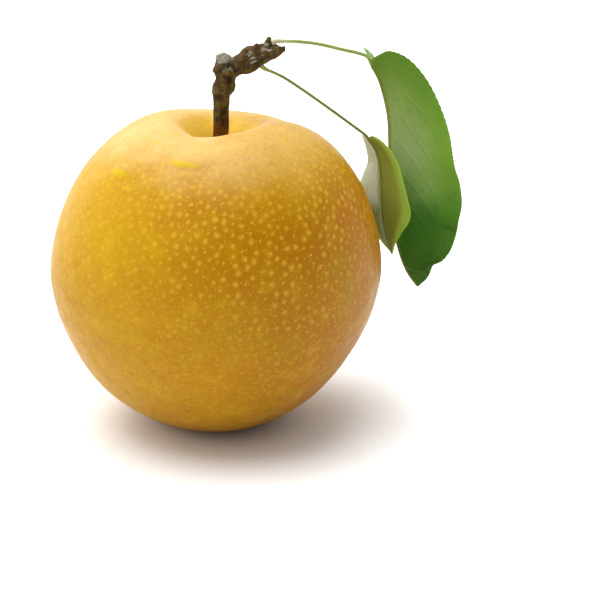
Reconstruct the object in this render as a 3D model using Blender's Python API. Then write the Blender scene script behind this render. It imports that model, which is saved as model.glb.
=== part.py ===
"""Nashi pear with its stalk, a piece of its fruiting spur and two leaves, at real size.

The pear stands on a small flat ring round its calyx basin, with +Z up.
The origin is on the resting surface, under the middle of the whole object's box.
"""

import math

import bmesh
import bpy
from mathutils import Vector

MM = 0.001
FOOT_GAP = 0.37 * MM

# Place of the fruit's foot, which centres the whole object's box on the origin
FRUIT_X = -12.0 * MM
FRUIT_Y = 0.0 * MM

# Fruit, from the calyx basin below to the stem cavity on top
FRUIT_RADIUS = 45.0 * MM
WIDEST_HEIGHT = 44.2 * MM
RIM_RADIUS = 15.0 * MM
RIM_HEIGHT = 84.8 * MM
UPPER_ROUNDNESS = 1.85
LOWER_ROUNDNESS = 1.7
FOOT_OUTER_RADIUS = 10.5 * MM
FOOT_INNER_RADIUS = 7.5 * MM
BASIN_DEPTH = 5.0 * MM
CAVITY_DEPTH = 10.0 * MM
# Above 1 the cavity narrows: its lip is broad and round and its wall drops close to the stalk
CAVITY_NARROWING = 1.4
SOCKET_RADIUS = 2.45 * MM
SOCKET_DEPTH = 3.0 * MM
LEAN = math.radians(1.6)
RIM_WAVE = 1.15 * MM
RIM_WAVE_ANGLE = math.radians(147)
RIM_TILT = 1.25 * MM
RIM_TILT_ANGLE = math.radians(-59)
# The unevenness of the rim fades out over this share of the height
RIM_REACH = 0.5
OVAL = 0.006
OVAL_ANGLE = math.radians(-25)
FRUIT_SIDES = 60

# Stalk, from its foot in the socket to the joint with the spur
STALK_RADIUS = 2.05 * MM
STALK_TOP_RADIUS = 2.25 * MM
STALK_ROUTE = [(2.5, 0.0, 81.4), (2.7, 0.0, 88.0), (2.8, 0.0, 91.5)]
STALK_SIDES = 16
STALK_RINGS = 12

# Spur: an upright trunk with a broken top, and an arm to the right that ends in a blunt point
TRUNK_ROUTE = [(2.8, 0.0, 91.87), (2.84, 0.0, 93.0), (3.5, 0.0, 95.2), (3.9, 0.1, 98.0), (3.7, 0.2, 101.0),
               (2.7, 0.2, 103.6)]
TRUNK_RADII = [2.3, 2.6, 2.6, 2.9, 2.5, 1.2]
ARM_ROUTE = [(3.6, 0.2, 99.2), (7.9, 1.0, 100.6), (11.1, 2.0, 101.9), (13.7, 3.0, 102.7), (16.4, 4.0, 103.4),
             (19.7, 5.0, 103.7)]
ARM_RADII = [2.3, 2.6, 3.0, 2.9, 1.9, 0.7]
WOOD_SIDES = 14
WOOD_RING_SPACING = 0.9 * MM
WOOD_ROUGHNESS = 0.07
# Swellings of the bark: how many round the branch, how they twist along it and how the seed shifts them
WOOD_SWELLINGS = [(3, 7, 1), (2, -15, 2)]
# Each nub of the spur: its foot, its tip and the radius of its foot
NUBS = [
    ((14.9, 3.8, 104.0), (15.6, 4.0, 107.1), 0.95),
    ((11.6, 1.4, 103.6), (12.4, 1.0, 106.1), 1.1),
    ((9.6, 3.6, 101.8), (10.2, 6.0, 103.4), 1.2),
    ((4.6, -1.0, 98.6), (5.4, -3.6, 99.6), 1.2),
    ((3.4, 1.4, 96.2), (3.0, 3.9, 97.4), 1.1),
]
NUB_SIDES = 8
NUB_BLUNTNESS = 1.04

# Leaves: the petiole and the midrib are one line, in millimetres from the fruit's foot
LARGE_LEAF = {
    "petiole": [(17.3, 4.45, 106.0), (18.7, 4.9, 105.95), (22.5, 7.0, 105.3), (26.9, 10.0, 104.1),
                (30.7, 13.0, 102.6), (35.6, 16.0, 100.6), (39.5, 18.3, 99.1)],
    "midrib": [(42.3, 20.0, 97.5), (44.3, 21.0, 93.9), (46.3, 22.0, 89.3), (48.4, 22.2, 80.5),
               (48.9, 22.2, 71.7), (49.1, 22.0, 62.9), (49.6, 21.2, 52.5), (51.5, 20.0, 42.5),
               (54.0, 18.8, 35.6), (57.1, 17.4, 31.3)],
    "half_width": 23.7 * MM,
    "near_fold": (math.radians(84), math.radians(57)),
    "far_fold": (math.radians(0), math.radians(25)),
    "near_curl": math.radians(-8),
    "far_curl": math.radians(-14),
    "widest": 0.50,
    "base_fullness": 0.76,
    "tip_fullness": 0.37,
    "wave": 0.45 * MM,
    "waves": 2.5,
    "foot_radius": 0.6 * MM,
    "petiole_radius": 0.5 * MM,
    "teeth": 36,
    "tooth_depth": 0.7 * MM,
}
SMALL_LEAF = {
    "petiole": [(13.9, 3.1, 99.2), (14.8, 3.5, 98.5), (17.0, 4.4, 97.3), (20.1, 5.5, 95.35),
                (25.8, 8.0, 90.7), (31.8, 10.5, 85.6), (38.15, 13.0, 80.1)],
    "midrib": [(42.05, 14.0, 76.75), (44.3, 14.5, 73.8), (45.8, 14.6, 70.0), (46.4, 14.6, 65.3),
               (46.6, 14.6, 59.5), (46.9, 14.5, 53.3), (47.9, 14.0, 47.6), (49.6, 13.0, 42.6)],
    "half_width": 11.4 * MM,
    "near_fold": (math.radians(34), math.radians(36)),
    "far_fold": (math.radians(-24), math.radians(-24)),
    "near_curl": math.radians(6),
    "far_curl": math.radians(-10),
    "widest": 0.47,
    "base_fullness": 0.85,
    "tip_fullness": 0.85,
    "wave": 0.5 * MM,
    "waves": 2.0,
    "foot_radius": 0.6 * MM,
    "petiole_radius": 0.42 * MM,
    "teeth": 22,
    "tooth_depth": 0.55 * MM,
}
BLADE_THICKNESS = 0.6 * MM
RIB_WIDTH = 1.1 * MM
RIB_HEIGHT = 0.5 * MM
RIB_SHOULDER = 0.3
RIB_TAPER = 0.8
RIB_WIDEST_SHARE = 0.23
CREASE_ROUNDING = 0.5
# Shares of the half width where the blade's columns stand, outside the midrib's own column
BLADE_COLUMNS = [0.38, 0.72, 1.0]
TOOTH_LEAN = 0.68
TOOTH_FADE = 0.33
TIP_HALF_WIDTH = 0.35 * MM
PETIOLE_RING_SPACING = 2.6 * MM
BLADE_START = 0.05
# How far the blade's rows slope forward along the midrib for each step sideways, and back at its base
BASE_SLANT = -0.65
ROW_SLANT = 0.35
FOLD_LENGTH = 0.35
SLANT_LENGTH = 0.25

# Colours and finishes: base colour, roughness
FINISHES = {
    "russet_skin": ((0.60, 0.33, 0.045, 1.0), 0.42),
    "stalk_brown": ((0.09, 0.035, 0.010, 1.0), 0.6),
    "spur_bark": ((0.075, 0.048, 0.018, 1.0), 0.85),
    "large_leaf_green": ((0.10, 0.24, 0.016, 1.0), 0.4),
    "small_leaf_olive": ((0.17, 0.22, 0.03, 1.0), 0.5),
}


def smooth(value):
    """Ease from 0 to 1 while value goes from 0 to 1."""
    value = min(max(value, 0.0), 1.0)
    return value * value * (3 - 2 * value)


def mix(first, second, share):
    return first + (second - first) * share


def from_foot(x, y, z):
    """Point in metres for millimetres measured from the middle of the fruit's foot."""
    return Vector((FRUIT_X + x * MM, FRUIT_Y + y * MM, z * MM))


class Route:
    """Smooth line through a few points, read by the distance along it."""

    def __init__(self, points, pieces=12):
        ends = [points[0] * 2 - points[1]] + list(points) + [points[-1] * 2 - points[-2]]
        self.points = []
        for i in range(1, len(ends) - 2):
            for piece in range(pieces):
                self.points.append(self.between(ends[i - 1:i + 3], piece / pieces))
        self.points.append(points[-1])
        self.marks = [0.0]
        for first, second in zip(self.points, self.points[1:]):
            self.marks.append(self.marks[-1] + (second - first).length)
        self.length = self.marks[-1]

    @staticmethod
    def between(four, t):
        """Catmull-Rom point between the middle two of four points."""
        a, b, c, d = four
        square = (2 * a - 5 * b + 4 * c - d) * t ** 2
        cube = (3 * b - a - 3 * c + d) * t ** 3
        return 0.5 * (2 * b + (c - a) * t + square + cube)

    def at(self, distance):
        """Point and direction at a distance from the start."""
        distance = min(max(distance, 0.0), self.length)
        i = 0
        while i < len(self.marks) - 2 and self.marks[i + 1] < distance:
            i += 1
        share = (distance - self.marks[i]) / (self.marks[i + 1] - self.marks[i])
        before = self.points[max(i - 1, 0)]
        after = self.points[min(i + 2, len(self.points) - 1)]
        return self.points[i].lerp(self.points[i + 1], share), (after - before).normalized()


def close_rings(bm, rings, start=None, end=None):
    """Faces between closed rings of points, with each end a flat cap, or a fan to a point."""
    rows = [[bm.verts.new(point) for point in ring] for ring in rings]
    sides = len(rows[0])
    for lower, upper in zip(rows, rows[1:]):
        for i in range(sides):
            j = (i + 1) % sides
            bm.faces.new((lower[i], lower[j], upper[j], upper[i]))
    for row, middle in ((rows[0], start), (rows[-1], end)):
        if middle is None:
            bm.faces.new(row)
            continue
        point = bm.verts.new(middle)
        for i in range(sides):
            bm.faces.new((row[i], row[(i + 1) % sides], point))


def tube_rings(route, radius_at, sides, count):
    """Rings round a route, square to it. radius_at gives the radius at a share and a side's angle."""
    rings = []
    side = Vector((0, -1, 0))
    for i in range(count + 1):
        share = i / count
        middle, along = route.at(route.length * share)
        side = (side - along * side.dot(along)).normalized()
        over = along.cross(side)
        ring = []
        for k in range(sides):
            angle = math.tau * k / sides
            reach = radius_at(share, angle)
            ring.append(middle + (side * math.cos(angle) + over * math.sin(angle)) * reach)
        rings.append(ring)
    return rings


def finish_material(name):
    """Principled material with one of the part's colours."""
    colour, roughness = FINISHES[name]
    material = bpy.data.materials.new(name)
    material.use_nodes = True
    shader = material.node_tree.nodes["Principled BSDF"]
    shader.inputs["Base Color"].default_value = colour
    shader.inputs["Roughness"].default_value = roughness
    shader.inputs["Metallic"].default_value = 0.0
    material.diffuse_color = colour
    return material


def new_object(name, bm, finish, smooth_angle=math.radians(40)):
    """Object from a bmesh, with outward faces, smooth shading and its own material."""
    bmesh.ops.recalc_face_normals(bm, faces=bm.faces)
    mesh = bpy.data.meshes.new(name)
    bm.to_mesh(mesh)
    bm.free()
    mesh.shade_smooth()
    mesh.set_sharp_from_angle(angle=smooth_angle)
    mesh.materials.append(finish_material(finish))
    thing = bpy.data.objects.new(name, mesh)
    bpy.context.scene.collection.objects.link(thing)
    return thing


def fruit_warp(radius, angle, height):
    """Point of the fruit, with its slight oval, uneven rim and lean."""
    top = smooth((height / RIM_HEIGHT - 1 + RIM_REACH) / RIM_REACH)
    inside = min(radius / RIM_RADIUS, 1.0) ** 2
    wave = RIM_WAVE * math.cos(2 * (angle - RIM_WAVE_ANGLE)) + RIM_TILT * math.cos(angle - RIM_TILT_ANGLE)
    height += top * inside * wave
    # The oval fades out towards the foot and the socket, which stay round
    body = smooth((radius - FOOT_OUTER_RADIUS) / FOOT_OUTER_RADIUS)
    radius *= 1 + OVAL * body * math.cos(2 * (angle - OVAL_ANGLE))
    x = radius * math.cos(angle)
    y = radius * math.sin(angle)
    lean = LEAN * height / RIM_HEIGHT
    return Vector((FRUIT_X + x * math.cos(lean) + height * math.sin(lean), FRUIT_Y + y,
                   height * math.cos(lean) - x * math.sin(lean)))


def rounded_quarter(inner, outer, rise, roundness, steps):
    """Radius and height along a quarter superellipse, from its widest place to its end."""
    quarter = []
    for step in range(steps + 1):
        turn = math.pi / 2 * step / steps
        reach = max(math.cos(turn), 0.0) ** (2 / roundness)
        quarter.append((mix(inner, outer, reach), rise * math.sin(turn) ** (2 / roundness)))
    return quarter


def fruit_profile(basin_steps=4, side_steps=13, cavity_steps=7):
    """Radius and height from the edge of the basin's middle up the side and down into the socket."""
    profile = []
    for step in range(1, basin_steps + 1):
        share = step / basin_steps
        profile.append((FOOT_INNER_RADIUS * share, BASIN_DEPTH * (1 + math.cos(math.pi * share)) / 2))
    below = rounded_quarter(FOOT_OUTER_RADIUS, FRUIT_RADIUS, WIDEST_HEIGHT, LOWER_ROUNDNESS, side_steps)
    profile += [(radius, WIDEST_HEIGHT - drop) for radius, drop in reversed(below)]
    above = rounded_quarter(RIM_RADIUS, FRUIT_RADIUS, RIM_HEIGHT - WIDEST_HEIGHT, UPPER_ROUNDNESS, side_steps)
    profile += [(radius, WIDEST_HEIGHT + rise) for radius, rise in above[1:]]
    for step in range(1, cavity_steps + 1):
        share = step / cavity_steps
        drop = CAVITY_DEPTH * (1 - math.cos(math.pi * share ** CAVITY_NARROWING)) / 2
        profile.append((mix(RIM_RADIUS, SOCKET_RADIUS, share), RIM_HEIGHT - drop))
    profile.append((SOCKET_RADIUS, RIM_HEIGHT - CAVITY_DEPTH - SOCKET_DEPTH))
    return profile


def make_fruit():
    """Skin and flesh in one solid, with a stem cavity, a socket for the stalk and a calyx basin."""
    rings = []
    for radius, height in fruit_profile():
        rings.append([fruit_warp(radius, math.tau * i / FRUIT_SIDES, height) for i in range(FRUIT_SIDES)])
    bm = bmesh.new()
    socket_floor = fruit_warp(0, 0, RIM_HEIGHT - CAVITY_DEPTH - SOCKET_DEPTH)
    close_rings(bm, rings, start=fruit_warp(0, 0, BASIN_DEPTH), end=socket_floor)
    return new_object("fruit", bm, "russet_skin")


def make_stalk():
    """Smooth stalk whose foot stands in the fruit's socket."""
    foot_height = RIM_HEIGHT - CAVITY_DEPTH - SOCKET_DEPTH + FOOT_GAP
    points = [fruit_warp(0, 0, foot_height), fruit_warp(0, 0, foot_height + SOCKET_DEPTH)]
    points += [from_foot(*point) for point in STALK_ROUTE]

    def radius_at(share, angle):
        return mix(STALK_RADIUS, STALK_TOP_RADIUS, smooth(share))

    bm = bmesh.new()
    close_rings(bm, tube_rings(Route(points), radius_at, STALK_SIDES, STALK_RINGS))
    return new_object("stalk", bm, "stalk_brown")


def wood_mesh(route_points, radii, seed):
    """Knotty round branch along a route, in a mesh of its own."""
    route = Route([from_foot(*point) for point in route_points])
    steps = len(radii) - 1

    def radius_at(share, angle):
        place = min(share * steps, steps - 1e-6)
        i = int(place)
        plain = mix(radii[i], radii[i + 1], smooth(place - i)) * MM
        knots = 0.0
        for count, twist, shift in WOOD_SWELLINGS:
            knots += math.sin(count * angle + twist * share + shift * seed)
        # The first ring stays round, where the stalk meets it
        return plain * (1 + WOOD_ROUGHNESS * knots * smooth(share * steps))

    bm = bmesh.new()
    close_rings(bm, tube_rings(route, radius_at, WOOD_SIDES, round(route.length / WOOD_RING_SPACING)))
    return bm


def nub_mesh(foot, tip, radius):
    """Small blunt cone for a bud or the stub of a twig."""
    start = from_foot(*foot)
    end = from_foot(*tip)
    route = Route([start, (start + end) / 2, end])

    def radius_at(share, angle):
        return radius * MM * math.sqrt(NUB_BLUNTNESS - share ** 2)

    bm = bmesh.new()
    close_rings(bm, tube_rings(route, radius_at, NUB_SIDES, 3))
    return bm


def make_spur():
    """Woody spur in one solid: the trunk, with the arm and the nubs joined to it."""
    trunk = new_object("spur", wood_mesh(TRUNK_ROUTE, TRUNK_RADII, 1.0), "spur_bark")
    limbs = [wood_mesh(ARM_ROUTE, ARM_RADII, 2.6)]
    limbs += [nub_mesh(*nub) for nub in NUBS]
    collection = bpy.data.collections.new("spur_limbs")
    for i, limb in enumerate(limbs):
        bmesh.ops.recalc_face_normals(limb, faces=limb.faces)
        mesh = bpy.data.meshes.new(f"limb_{i}")
        limb.to_mesh(mesh)
        limb.free()
        collection.objects.link(bpy.data.objects.new(f"limb_{i}", mesh))
    union = trunk.modifiers.new("union", "BOOLEAN")
    union.operation = "UNION"
    union.operand_type = "COLLECTION"
    union.collection = collection
    union.solver = "EXACT"
    depsgraph = bpy.context.evaluated_depsgraph_get()
    joined = bpy.data.meshes.new_from_object(trunk.evaluated_get(depsgraph))
    trunk.modifiers.remove(union)
    trunk.data = joined
    for limb in list(collection.objects):
        bpy.data.objects.remove(limb)
    bpy.data.collections.remove(collection)
    return trunk


def blade_share(leaf, along):
    """Half width of a blade as a share of its widest, for a share of its length."""
    turn = math.log(0.5) / math.log(leaf["widest"])
    fullness = mix(leaf["base_fullness"], leaf["tip_fullness"], along)
    return max(math.sin(math.pi * min(along, 1.0) ** turn), 0.0) ** fullness


def half_blade(reaches, width, fold, curl):
    """Across and up offsets of one half's columns, folded up at the midrib and curled outwards."""
    offsets = []
    across, up, before = 0.0, 0.0, 0.0
    for reach in reaches:
        middle = (reach + before) / 2
        crease = 1 - CREASE_ROUNDING * math.exp(-middle / RIB_WIDTH)
        angle = fold * crease + curl * middle / width
        across += (reach - before) * math.cos(angle)
        up += (reach - before) * math.sin(angle)
        offsets.append((across, up))
        before = reach
    return offsets


def leaf_rows(leaf, petiole_length, blade_length):
    """Distances of a leaf's rows from its foot, each with its tooth's share of height."""
    petiole_rows = round(petiole_length / PETIOLE_RING_SPACING)
    rows = [(petiole_length * i / petiole_rows, 0.0) for i in range(petiole_rows)]
    for tooth in range(leaf["teeth"]):
        rows.append((petiole_length + blade_length * tooth / leaf["teeth"], 0.0))
        rows.append((petiole_length + blade_length * (tooth + TOOTH_LEAN) / leaf["teeth"], 1.0))
    rows.append((petiole_length + blade_length, 0.0))
    return rows


def blade_sheet(leaf, route, rows, petiole_length):
    """Middle surface of a leaf: for each row, the points from the far margin to the near one."""
    sheet = []
    for distance, tooth in rows:
        middle, along = route.at(distance)
        near = (Vector((0, -1, 0)) - along * -along.y).normalized()
        above = near.cross(along)
        share = max((distance - petiole_length) / (route.length - petiole_length), 0.0)
        width = max(leaf["half_width"] * blade_share(leaf, share), TIP_HALF_WIDTH)
        rib = min(RIB_WIDTH, RIB_WIDEST_SHARE * width)
        margin = width + leaf["tooth_depth"] * tooth * smooth(width / (leaf["half_width"] * TOOTH_FADE))
        reaches = [rib] + [width * column for column in BLADE_COLUMNS[:-1]] + [margin]
        slant = mix(BASE_SLANT, ROW_SLANT, smooth(share / SLANT_LENGTH)) * (1 - share ** 2)
        row = [middle]
        for side, name in ((1, "near"), (-1, "far")):
            fold = mix(*leaf[name + "_fold"], smooth(share / FOLD_LENGTH))
            offsets = half_blade(reaches, width, fold, leaf[name + "_curl"])
            for (across, up), reach in zip(offsets, reaches):
                wave = leaf["wave"] * (reach / leaf["half_width"]) ** 2
                ripple = wave * math.sin(math.tau * leaf["waves"] * share + side)
                point = middle + near * (side * across) + above * (up + ripple) + along * (slant * reach)
                row = row + [point] if side > 0 else [point] + row
        sheet.append(row)
    return sheet


def sheet_normals(sheet):
    """Upward normal at each point of a sheet of rows."""
    normals = []
    last = len(sheet) - 1
    for i, row in enumerate(sheet):
        ahead = sheet[min(i + 1, last)]
        behind = sheet[max(i - 1, 0)]
        line = []
        for k in range(len(row)):
            right = row[min(k + 1, len(row) - 1)] - row[max(k - 1, 0)]
            forward = ahead[k] - behind[k]
            line.append(right.cross(forward).normalized())
        normals.append(line)
    return normals


def leaf_faces(bm, uppers, lowers):
    """Close a leaf between its upper and lower points, split into triangles alike on both faces."""
    tops = [[bm.verts.new(point) for point in row] for row in uppers]
    bottoms = [[bm.verts.new(point) for point in row] for row in lowers]
    last = len(tops[0]) - 1
    for i in range(len(tops) - 1):
        for k in range(last):
            for rows, turned in ((tops, False), (bottoms, True)):
                a, b = rows[i][k], rows[i][k + 1]
                c, d = rows[i + 1][k + 1], rows[i + 1][k]
                for corner in ((a, b, c), (a, c, d)):
                    bm.faces.new(tuple(reversed(corner)) if turned else corner)
        for k in (0, last):
            bm.faces.new((tops[i][k], tops[i + 1][k], bottoms[i + 1][k], bottoms[i][k]))
    for i in (0, len(tops) - 1):
        for k in range(last):
            bm.faces.new((tops[i][k], tops[i][k + 1], bottoms[i][k + 1], bottoms[i][k]))


def make_leaf(name, leaf, finish):
    """Petiole and blade in one solid: a round stem that spreads into a folded, toothed blade."""
    petiole = [from_foot(*point) for point in leaf["petiole"]]
    midrib = [from_foot(*point) for point in leaf["midrib"]]
    route = Route(petiole + midrib)
    petiole_length = Route(petiole + midrib[:1]).length
    rows = leaf_rows(leaf, petiole_length, route.length - petiole_length)
    sheet = blade_sheet(leaf, route, rows, petiole_length)
    normals = sheet_normals(sheet)
    columns = len(sheet[0])
    centre = columns // 2
    uppers, lowers = [], []
    for (distance, tooth), row, line in zip(rows, sheet, normals):
        middle, along = route.at(distance)
        near = (Vector((0, -1, 0)) - along * -along.y).normalized()
        above = near.cross(along)
        share = (distance - petiole_length) / (route.length - petiole_length)
        spread = smooth(share / BLADE_START)
        flare = 1 - smooth(distance / (2 * PETIOLE_RING_SPACING))
        radius = mix(leaf["petiole_radius"], leaf["foot_radius"], flare)
        upper, lower = [], []
        for k in range(columns):
            away = abs(k - centre)
            rib = {0: 1.0, 1: RIB_SHOULDER}.get(away, 0.0) * RIB_HEIGHT * (1 - RIB_TAPER * max(share, 0.0))
            over = row[k] + line[k] * (BLADE_THICKNESS / 2)
            under = row[k] - line[k] * (BLADE_THICKNESS / 2 + rib)
            # On the petiole the same columns stand evenly round a circle
            turn = math.pi * (k + 0.5) / columns
            outward = near * (-math.cos(turn) * radius)
            upper.append((middle + outward + above * (math.sin(turn) * radius)).lerp(over, spread))
            lower.append((middle + outward - above * (math.sin(turn) * radius)).lerp(under, spread))
        uppers.append(upper)
        lowers.append(lower)
    bm = bmesh.new()
    leaf_faces(bm, uppers, lowers)
    return new_object(name, bm, finish)


def main():
    for thing in list(bpy.data.objects):
        bpy.data.objects.remove(thing)
    make_fruit()
    make_stalk()
    make_spur()
    make_leaf("large_leaf", LARGE_LEAF, "large_leaf_green")
    make_leaf("small_leaf", SMALL_LEAF, "small_leaf_olive")


main()
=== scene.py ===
"""Nashi pear with its stalk, a piece of its fruiting spur and two leaves: the finish of every surface.

Each operator makes a piece or a pair of like pieces, in metres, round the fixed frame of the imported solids.
"""

import math

import bpy
import numpy as np
from bpy.props import FloatProperty, FloatVectorProperty, IntProperty, PointerProperty
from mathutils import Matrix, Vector, kdtree, noise


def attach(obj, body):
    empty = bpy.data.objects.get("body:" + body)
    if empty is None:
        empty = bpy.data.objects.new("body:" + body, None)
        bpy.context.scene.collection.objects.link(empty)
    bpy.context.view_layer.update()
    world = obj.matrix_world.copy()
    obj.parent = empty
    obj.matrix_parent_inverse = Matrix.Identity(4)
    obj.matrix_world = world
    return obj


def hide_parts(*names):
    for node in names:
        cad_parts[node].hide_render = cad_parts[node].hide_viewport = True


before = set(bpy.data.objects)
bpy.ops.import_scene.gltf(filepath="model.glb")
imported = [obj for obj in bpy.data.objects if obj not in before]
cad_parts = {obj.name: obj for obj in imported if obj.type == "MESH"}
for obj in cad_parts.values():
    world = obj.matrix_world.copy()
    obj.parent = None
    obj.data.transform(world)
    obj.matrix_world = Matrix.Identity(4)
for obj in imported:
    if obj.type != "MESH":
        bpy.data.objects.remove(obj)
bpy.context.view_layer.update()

bl_info = {
    "name": "Nashi pear",
    "version": (1, 0, 0),
    "blender": (4, 5, 0),
    "location": "View3D > Sidebar > Nashi pear",
    "description": "Makes a russet nashi pear with its stalk, spur and leaves",
    "category": "Add Mesh",
}

MM = 0.001
SEED = 7
# Places of the colour sockets on a mix node
MIX_SHARE, MIX_FIRST, MIX_SECOND, MIX_RESULT = 0, 6, 7, 2
# The middle of a grain's range, where most of it lies
MIDDLE = (0.3, 0.7)

# Place of the fruit's foot in the frame
FRUIT_X = -12.0 * MM
FRUIT_Y = 0.0 * MM

# Form of the fruit, as in its solid
FRUIT_RADIUS = 45.0 * MM
WIDEST_HEIGHT = 44.2 * MM
RIM_RADIUS = 15.0 * MM
RIM_HEIGHT = 84.8 * MM
UPPER_ROUNDNESS = 1.85
LOWER_ROUNDNESS = 1.7
FOOT_OUTER_RADIUS = 10.5 * MM
FOOT_INNER_RADIUS = 7.5 * MM
BASIN_DEPTH = 5.0 * MM
CAVITY_DEPTH = 10.0 * MM
CAVITY_NARROWING = 1.4
SOCKET_RADIUS = 2.45 * MM
SOCKET_DEPTH = 3.0 * MM
FOOT_GAP = 0.37 * MM
LEAN = math.radians(1.6)
RIM_WAVE = 1.15 * MM
RIM_WAVE_ANGLE = math.radians(147)
RIM_TILT = 1.25 * MM
RIM_TILT_ANGLE = math.radians(-59)
RIM_REACH = 0.5
OVAL = 0.006
OVAL_ANGLE = math.radians(-25)

# The skin turns down round the stalk in a small collar
COLLAR_RADIUS = 1.7 * MM
COLLAR_DEPTH = 1.0 * MM
FRUIT_SIDES = 432
FRUIT_RINGS = 228
# Steps in which the profile's lines are laid out, before they are divided evenly
QUARTER_STEPS = 240
BASIN_STEPS = 90
BASIN_START = 0.004
CAVITY_STEPS = 120
COLLAR_STEPS = 20
CAVITY_DENSITY = 1.6

# Swellings: how many lie round the piece, the angle where they start, their twist and their height
BODY_LOBES = [(5, 0.6, 0.0, 0.22 * MM), (3, 2.1, 0.0, 0.2 * MM)]
CAVITY_FOLDS = [(7, 0.4, 0.0, 0.14 * MM), (11, 1.7, 0.0, 0.08 * MM)]
BASIN_FOLDS = [(5, 0.2, 0.0, 0.5 * MM), (10, 1.1, 0.0, 0.2 * MM)]
FOOT_SMOOTHNESS = 14 * MM
COLLAR_SMOOTHNESS = 3 * MM
CAVITY_ROUGHNESS = 0.4
CAVITY_DOTS = 0.5
# Uneven skin: the size and the height of each grain
SKIN_GRAINS = [(24 * MM, 0.32 * MM), (9 * MM, 0.14 * MM), (2.6 * MM, 0.032 * MM), (1.3 * MM, 0.014 * MM)]
# Share of the usual spacing of lenticels at the widest place, and how much it shrinks to the top and the foot
LENTICEL_CROWDING = (1.12, 0.35)
# Smallest and largest lenticel, and how far its low dome reaches, as shares of the usual radius
LENTICEL_SIZES = (0.55, 1.35)
LENTICEL_DOME = 1.4
SCAR_RADIUS = 3.2 * MM
SCAR_REACH = 1.5
# Distances from a lenticel are kept up to this many of its radii
LENTICEL_LIMIT = 4.0

# Small smooth blisters: direction in degrees, height, half length, half width and rise, in millimetres
BLISTERS = [
    (-143.0, 77.2, 3.4, 1.9, 0.60),
    (-108.0, 81.3, 5.2, 1.6, 0.60),
    (-139.0, 83.6, 1.9, 0.8, 0.22),
    (-134.5, 74.6, 2.9, 0.7, 0.16),
]
BLISTER_BLUNTNESS = 1.5

# Where the colours of the skin come in: an axis of the frame, the places where they start and end, and
# the shares that they go between
# Amber towards the right is partly the skin's own warmer colour and partly painted shade on the side away
# from the light
RIGHT = ("X", -40 * MM, 28 * MM)
FAR_RIGHT = ("X", 16 * MM, 32 * MM)
FLUSH_RISE = ("Z", 44 * MM, 62 * MM)
BEHIND = ("Y", -12 * MM, 22 * MM)
# Painted light: paler straw on the upper left of the body, where the light falls
LIT_LEFT = ("X", -14 * MM, -46 * MM)
LIT_RISE = ("Z", 38 * MM, 66 * MM, 0.0, 0.45)
# Paler straw and pale bloom over the shoulders and crown: partly paler skin, partly painted highlight of the
# light from above
SHOULDER_RIGHT = ("X", -10 * MM, 14 * MM)
SHOULDER_RISE = (64 * MM, 82 * MM, 0.0, 0.5)
CROWN_FADE = ("X", -24 * MM, 16 * MM, 1.0, 0.5)
CROWN_RISE = (72 * MM, 86 * MM)
DOTS_RIGHT = ("X", -48 * MM, -5 * MM, 0.55, 1.0)
DOTS_RISE = ("Z", 30 * MM, 58 * MM, 0.35, 1.0)
# Grains in the skin's finish: size, detail and roughness
MOTTLE_GRAIN = (6 * MM, 4.0, 0.6)
FINE_GRAIN = (1.1 * MM, 4.0, 0.7)
BROAD_GRAIN = (30 * MM, 2.0)
OLIVE_GRAIN = (11 * MM, 3.0)
FLUSH_GRAIN = (9 * MM, 3.0, 0.6)
CROWN_GRAIN = (16 * MM, 2.0)
GLOSS_GRAIN = (3 * MM, 3.0)
PORE_GRAIN = (0.35 * MM, 2.0)
SPECK_SPACING = 1.2 * MM
# Steps of the skin's colours: where each starts and ends, and the shares that it goes between
BROAD_AMBER = (0.35, 0.7, 0.0, 0.2)
MOTTLE_AMBER = (0.45, 0.75, 0.0, 0.45)
MOTTLE_STRAW = (0.48, 0.22, 0.0, 0.4)
OLIVE_PATCHES = (0.52, 0.68, 0.0, 0.5)
FLUSH_PATCHES = (0.42, 0.62, 0.1, 0.5)
CROWN_PATCHES = (0.3, 0.7, 1.0, 0.75)
# How far the crown's painted highlight reaches into the stem cavity
CROWN_HIGHLIGHT_IN_CAVITY = (0.1, 0.6, 1.0, 0.15)
# Painted light in bright yellow on the upper walls of the stem cavity, then painted shade in darker gold
# deeper in
CAVITY_PAINTED_LIGHT = (0.05, 0.55, 0.0, 0.85)
CAVITY_PAINTED_SHADE = (0.55, 1.0, 0.0, 0.8)
RUSSET_GRAINS = (0.5, 0.72, 0.0, 0.25)
SPECKS = (0.42, 0.2)
DOT_EDGE = (1.65, 0.15)
DOT_PATCHES = (0.3, 0.6, 0.6, 1.0)
BLISTER_TOP = (0.1, 0.7, 0.0, 0.85)
# Painted highlight: pale colour on the upper side of each blister
BLISTER_PAINTED_HIGHLIGHT = (-0.1, -0.5, 0.0, 0.6)
# Shares and raggedness in the skin's finish
BEHIND_WARMTH = 0.6
# Share of the amber towards the right and behind, partly painted shade
AMBER_AND_SHADE_SHARE = 0.8
LIT_BEHIND = 0.2
CROWN_RAGGEDNESS = 14 * MM
DOT_RAGGEDNESS = 1.4
DOT_SHARE = 0.65
SPECK_SHARE = 0.35
SPECK_RAGGEDNESS = 0.15
SCAR_SHARE = 0.9
# Roughness round its usual value, and the share that a dot adds
GLOSS_RANGE = (-0.05, 0.07)
DOT_ROUGHNESS = 0.08
# Bump of the skin: the shares of the fine grain and the pores, its depth and its strength
SKIN_BUMP = (0.5, 0.3, 0.05 * MM, 0.7)
# Values of the skin's shader that are the same all over
SKIN_SHADER = {
    "specular_ior_level": 0.18,
    "specular_tint": (1.0, 0.85, 0.6, 1.0),
    "subsurface_weight": 0.06,
    "subsurface_scale": 2.0 * MM,
    "subsurface_radius": (1.0, 0.5, 0.1),
}

# Stalk, as in its solid
STALK_RADIUS = 2.05 * MM
STALK_TOP_RADIUS = 2.25 * MM
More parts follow.
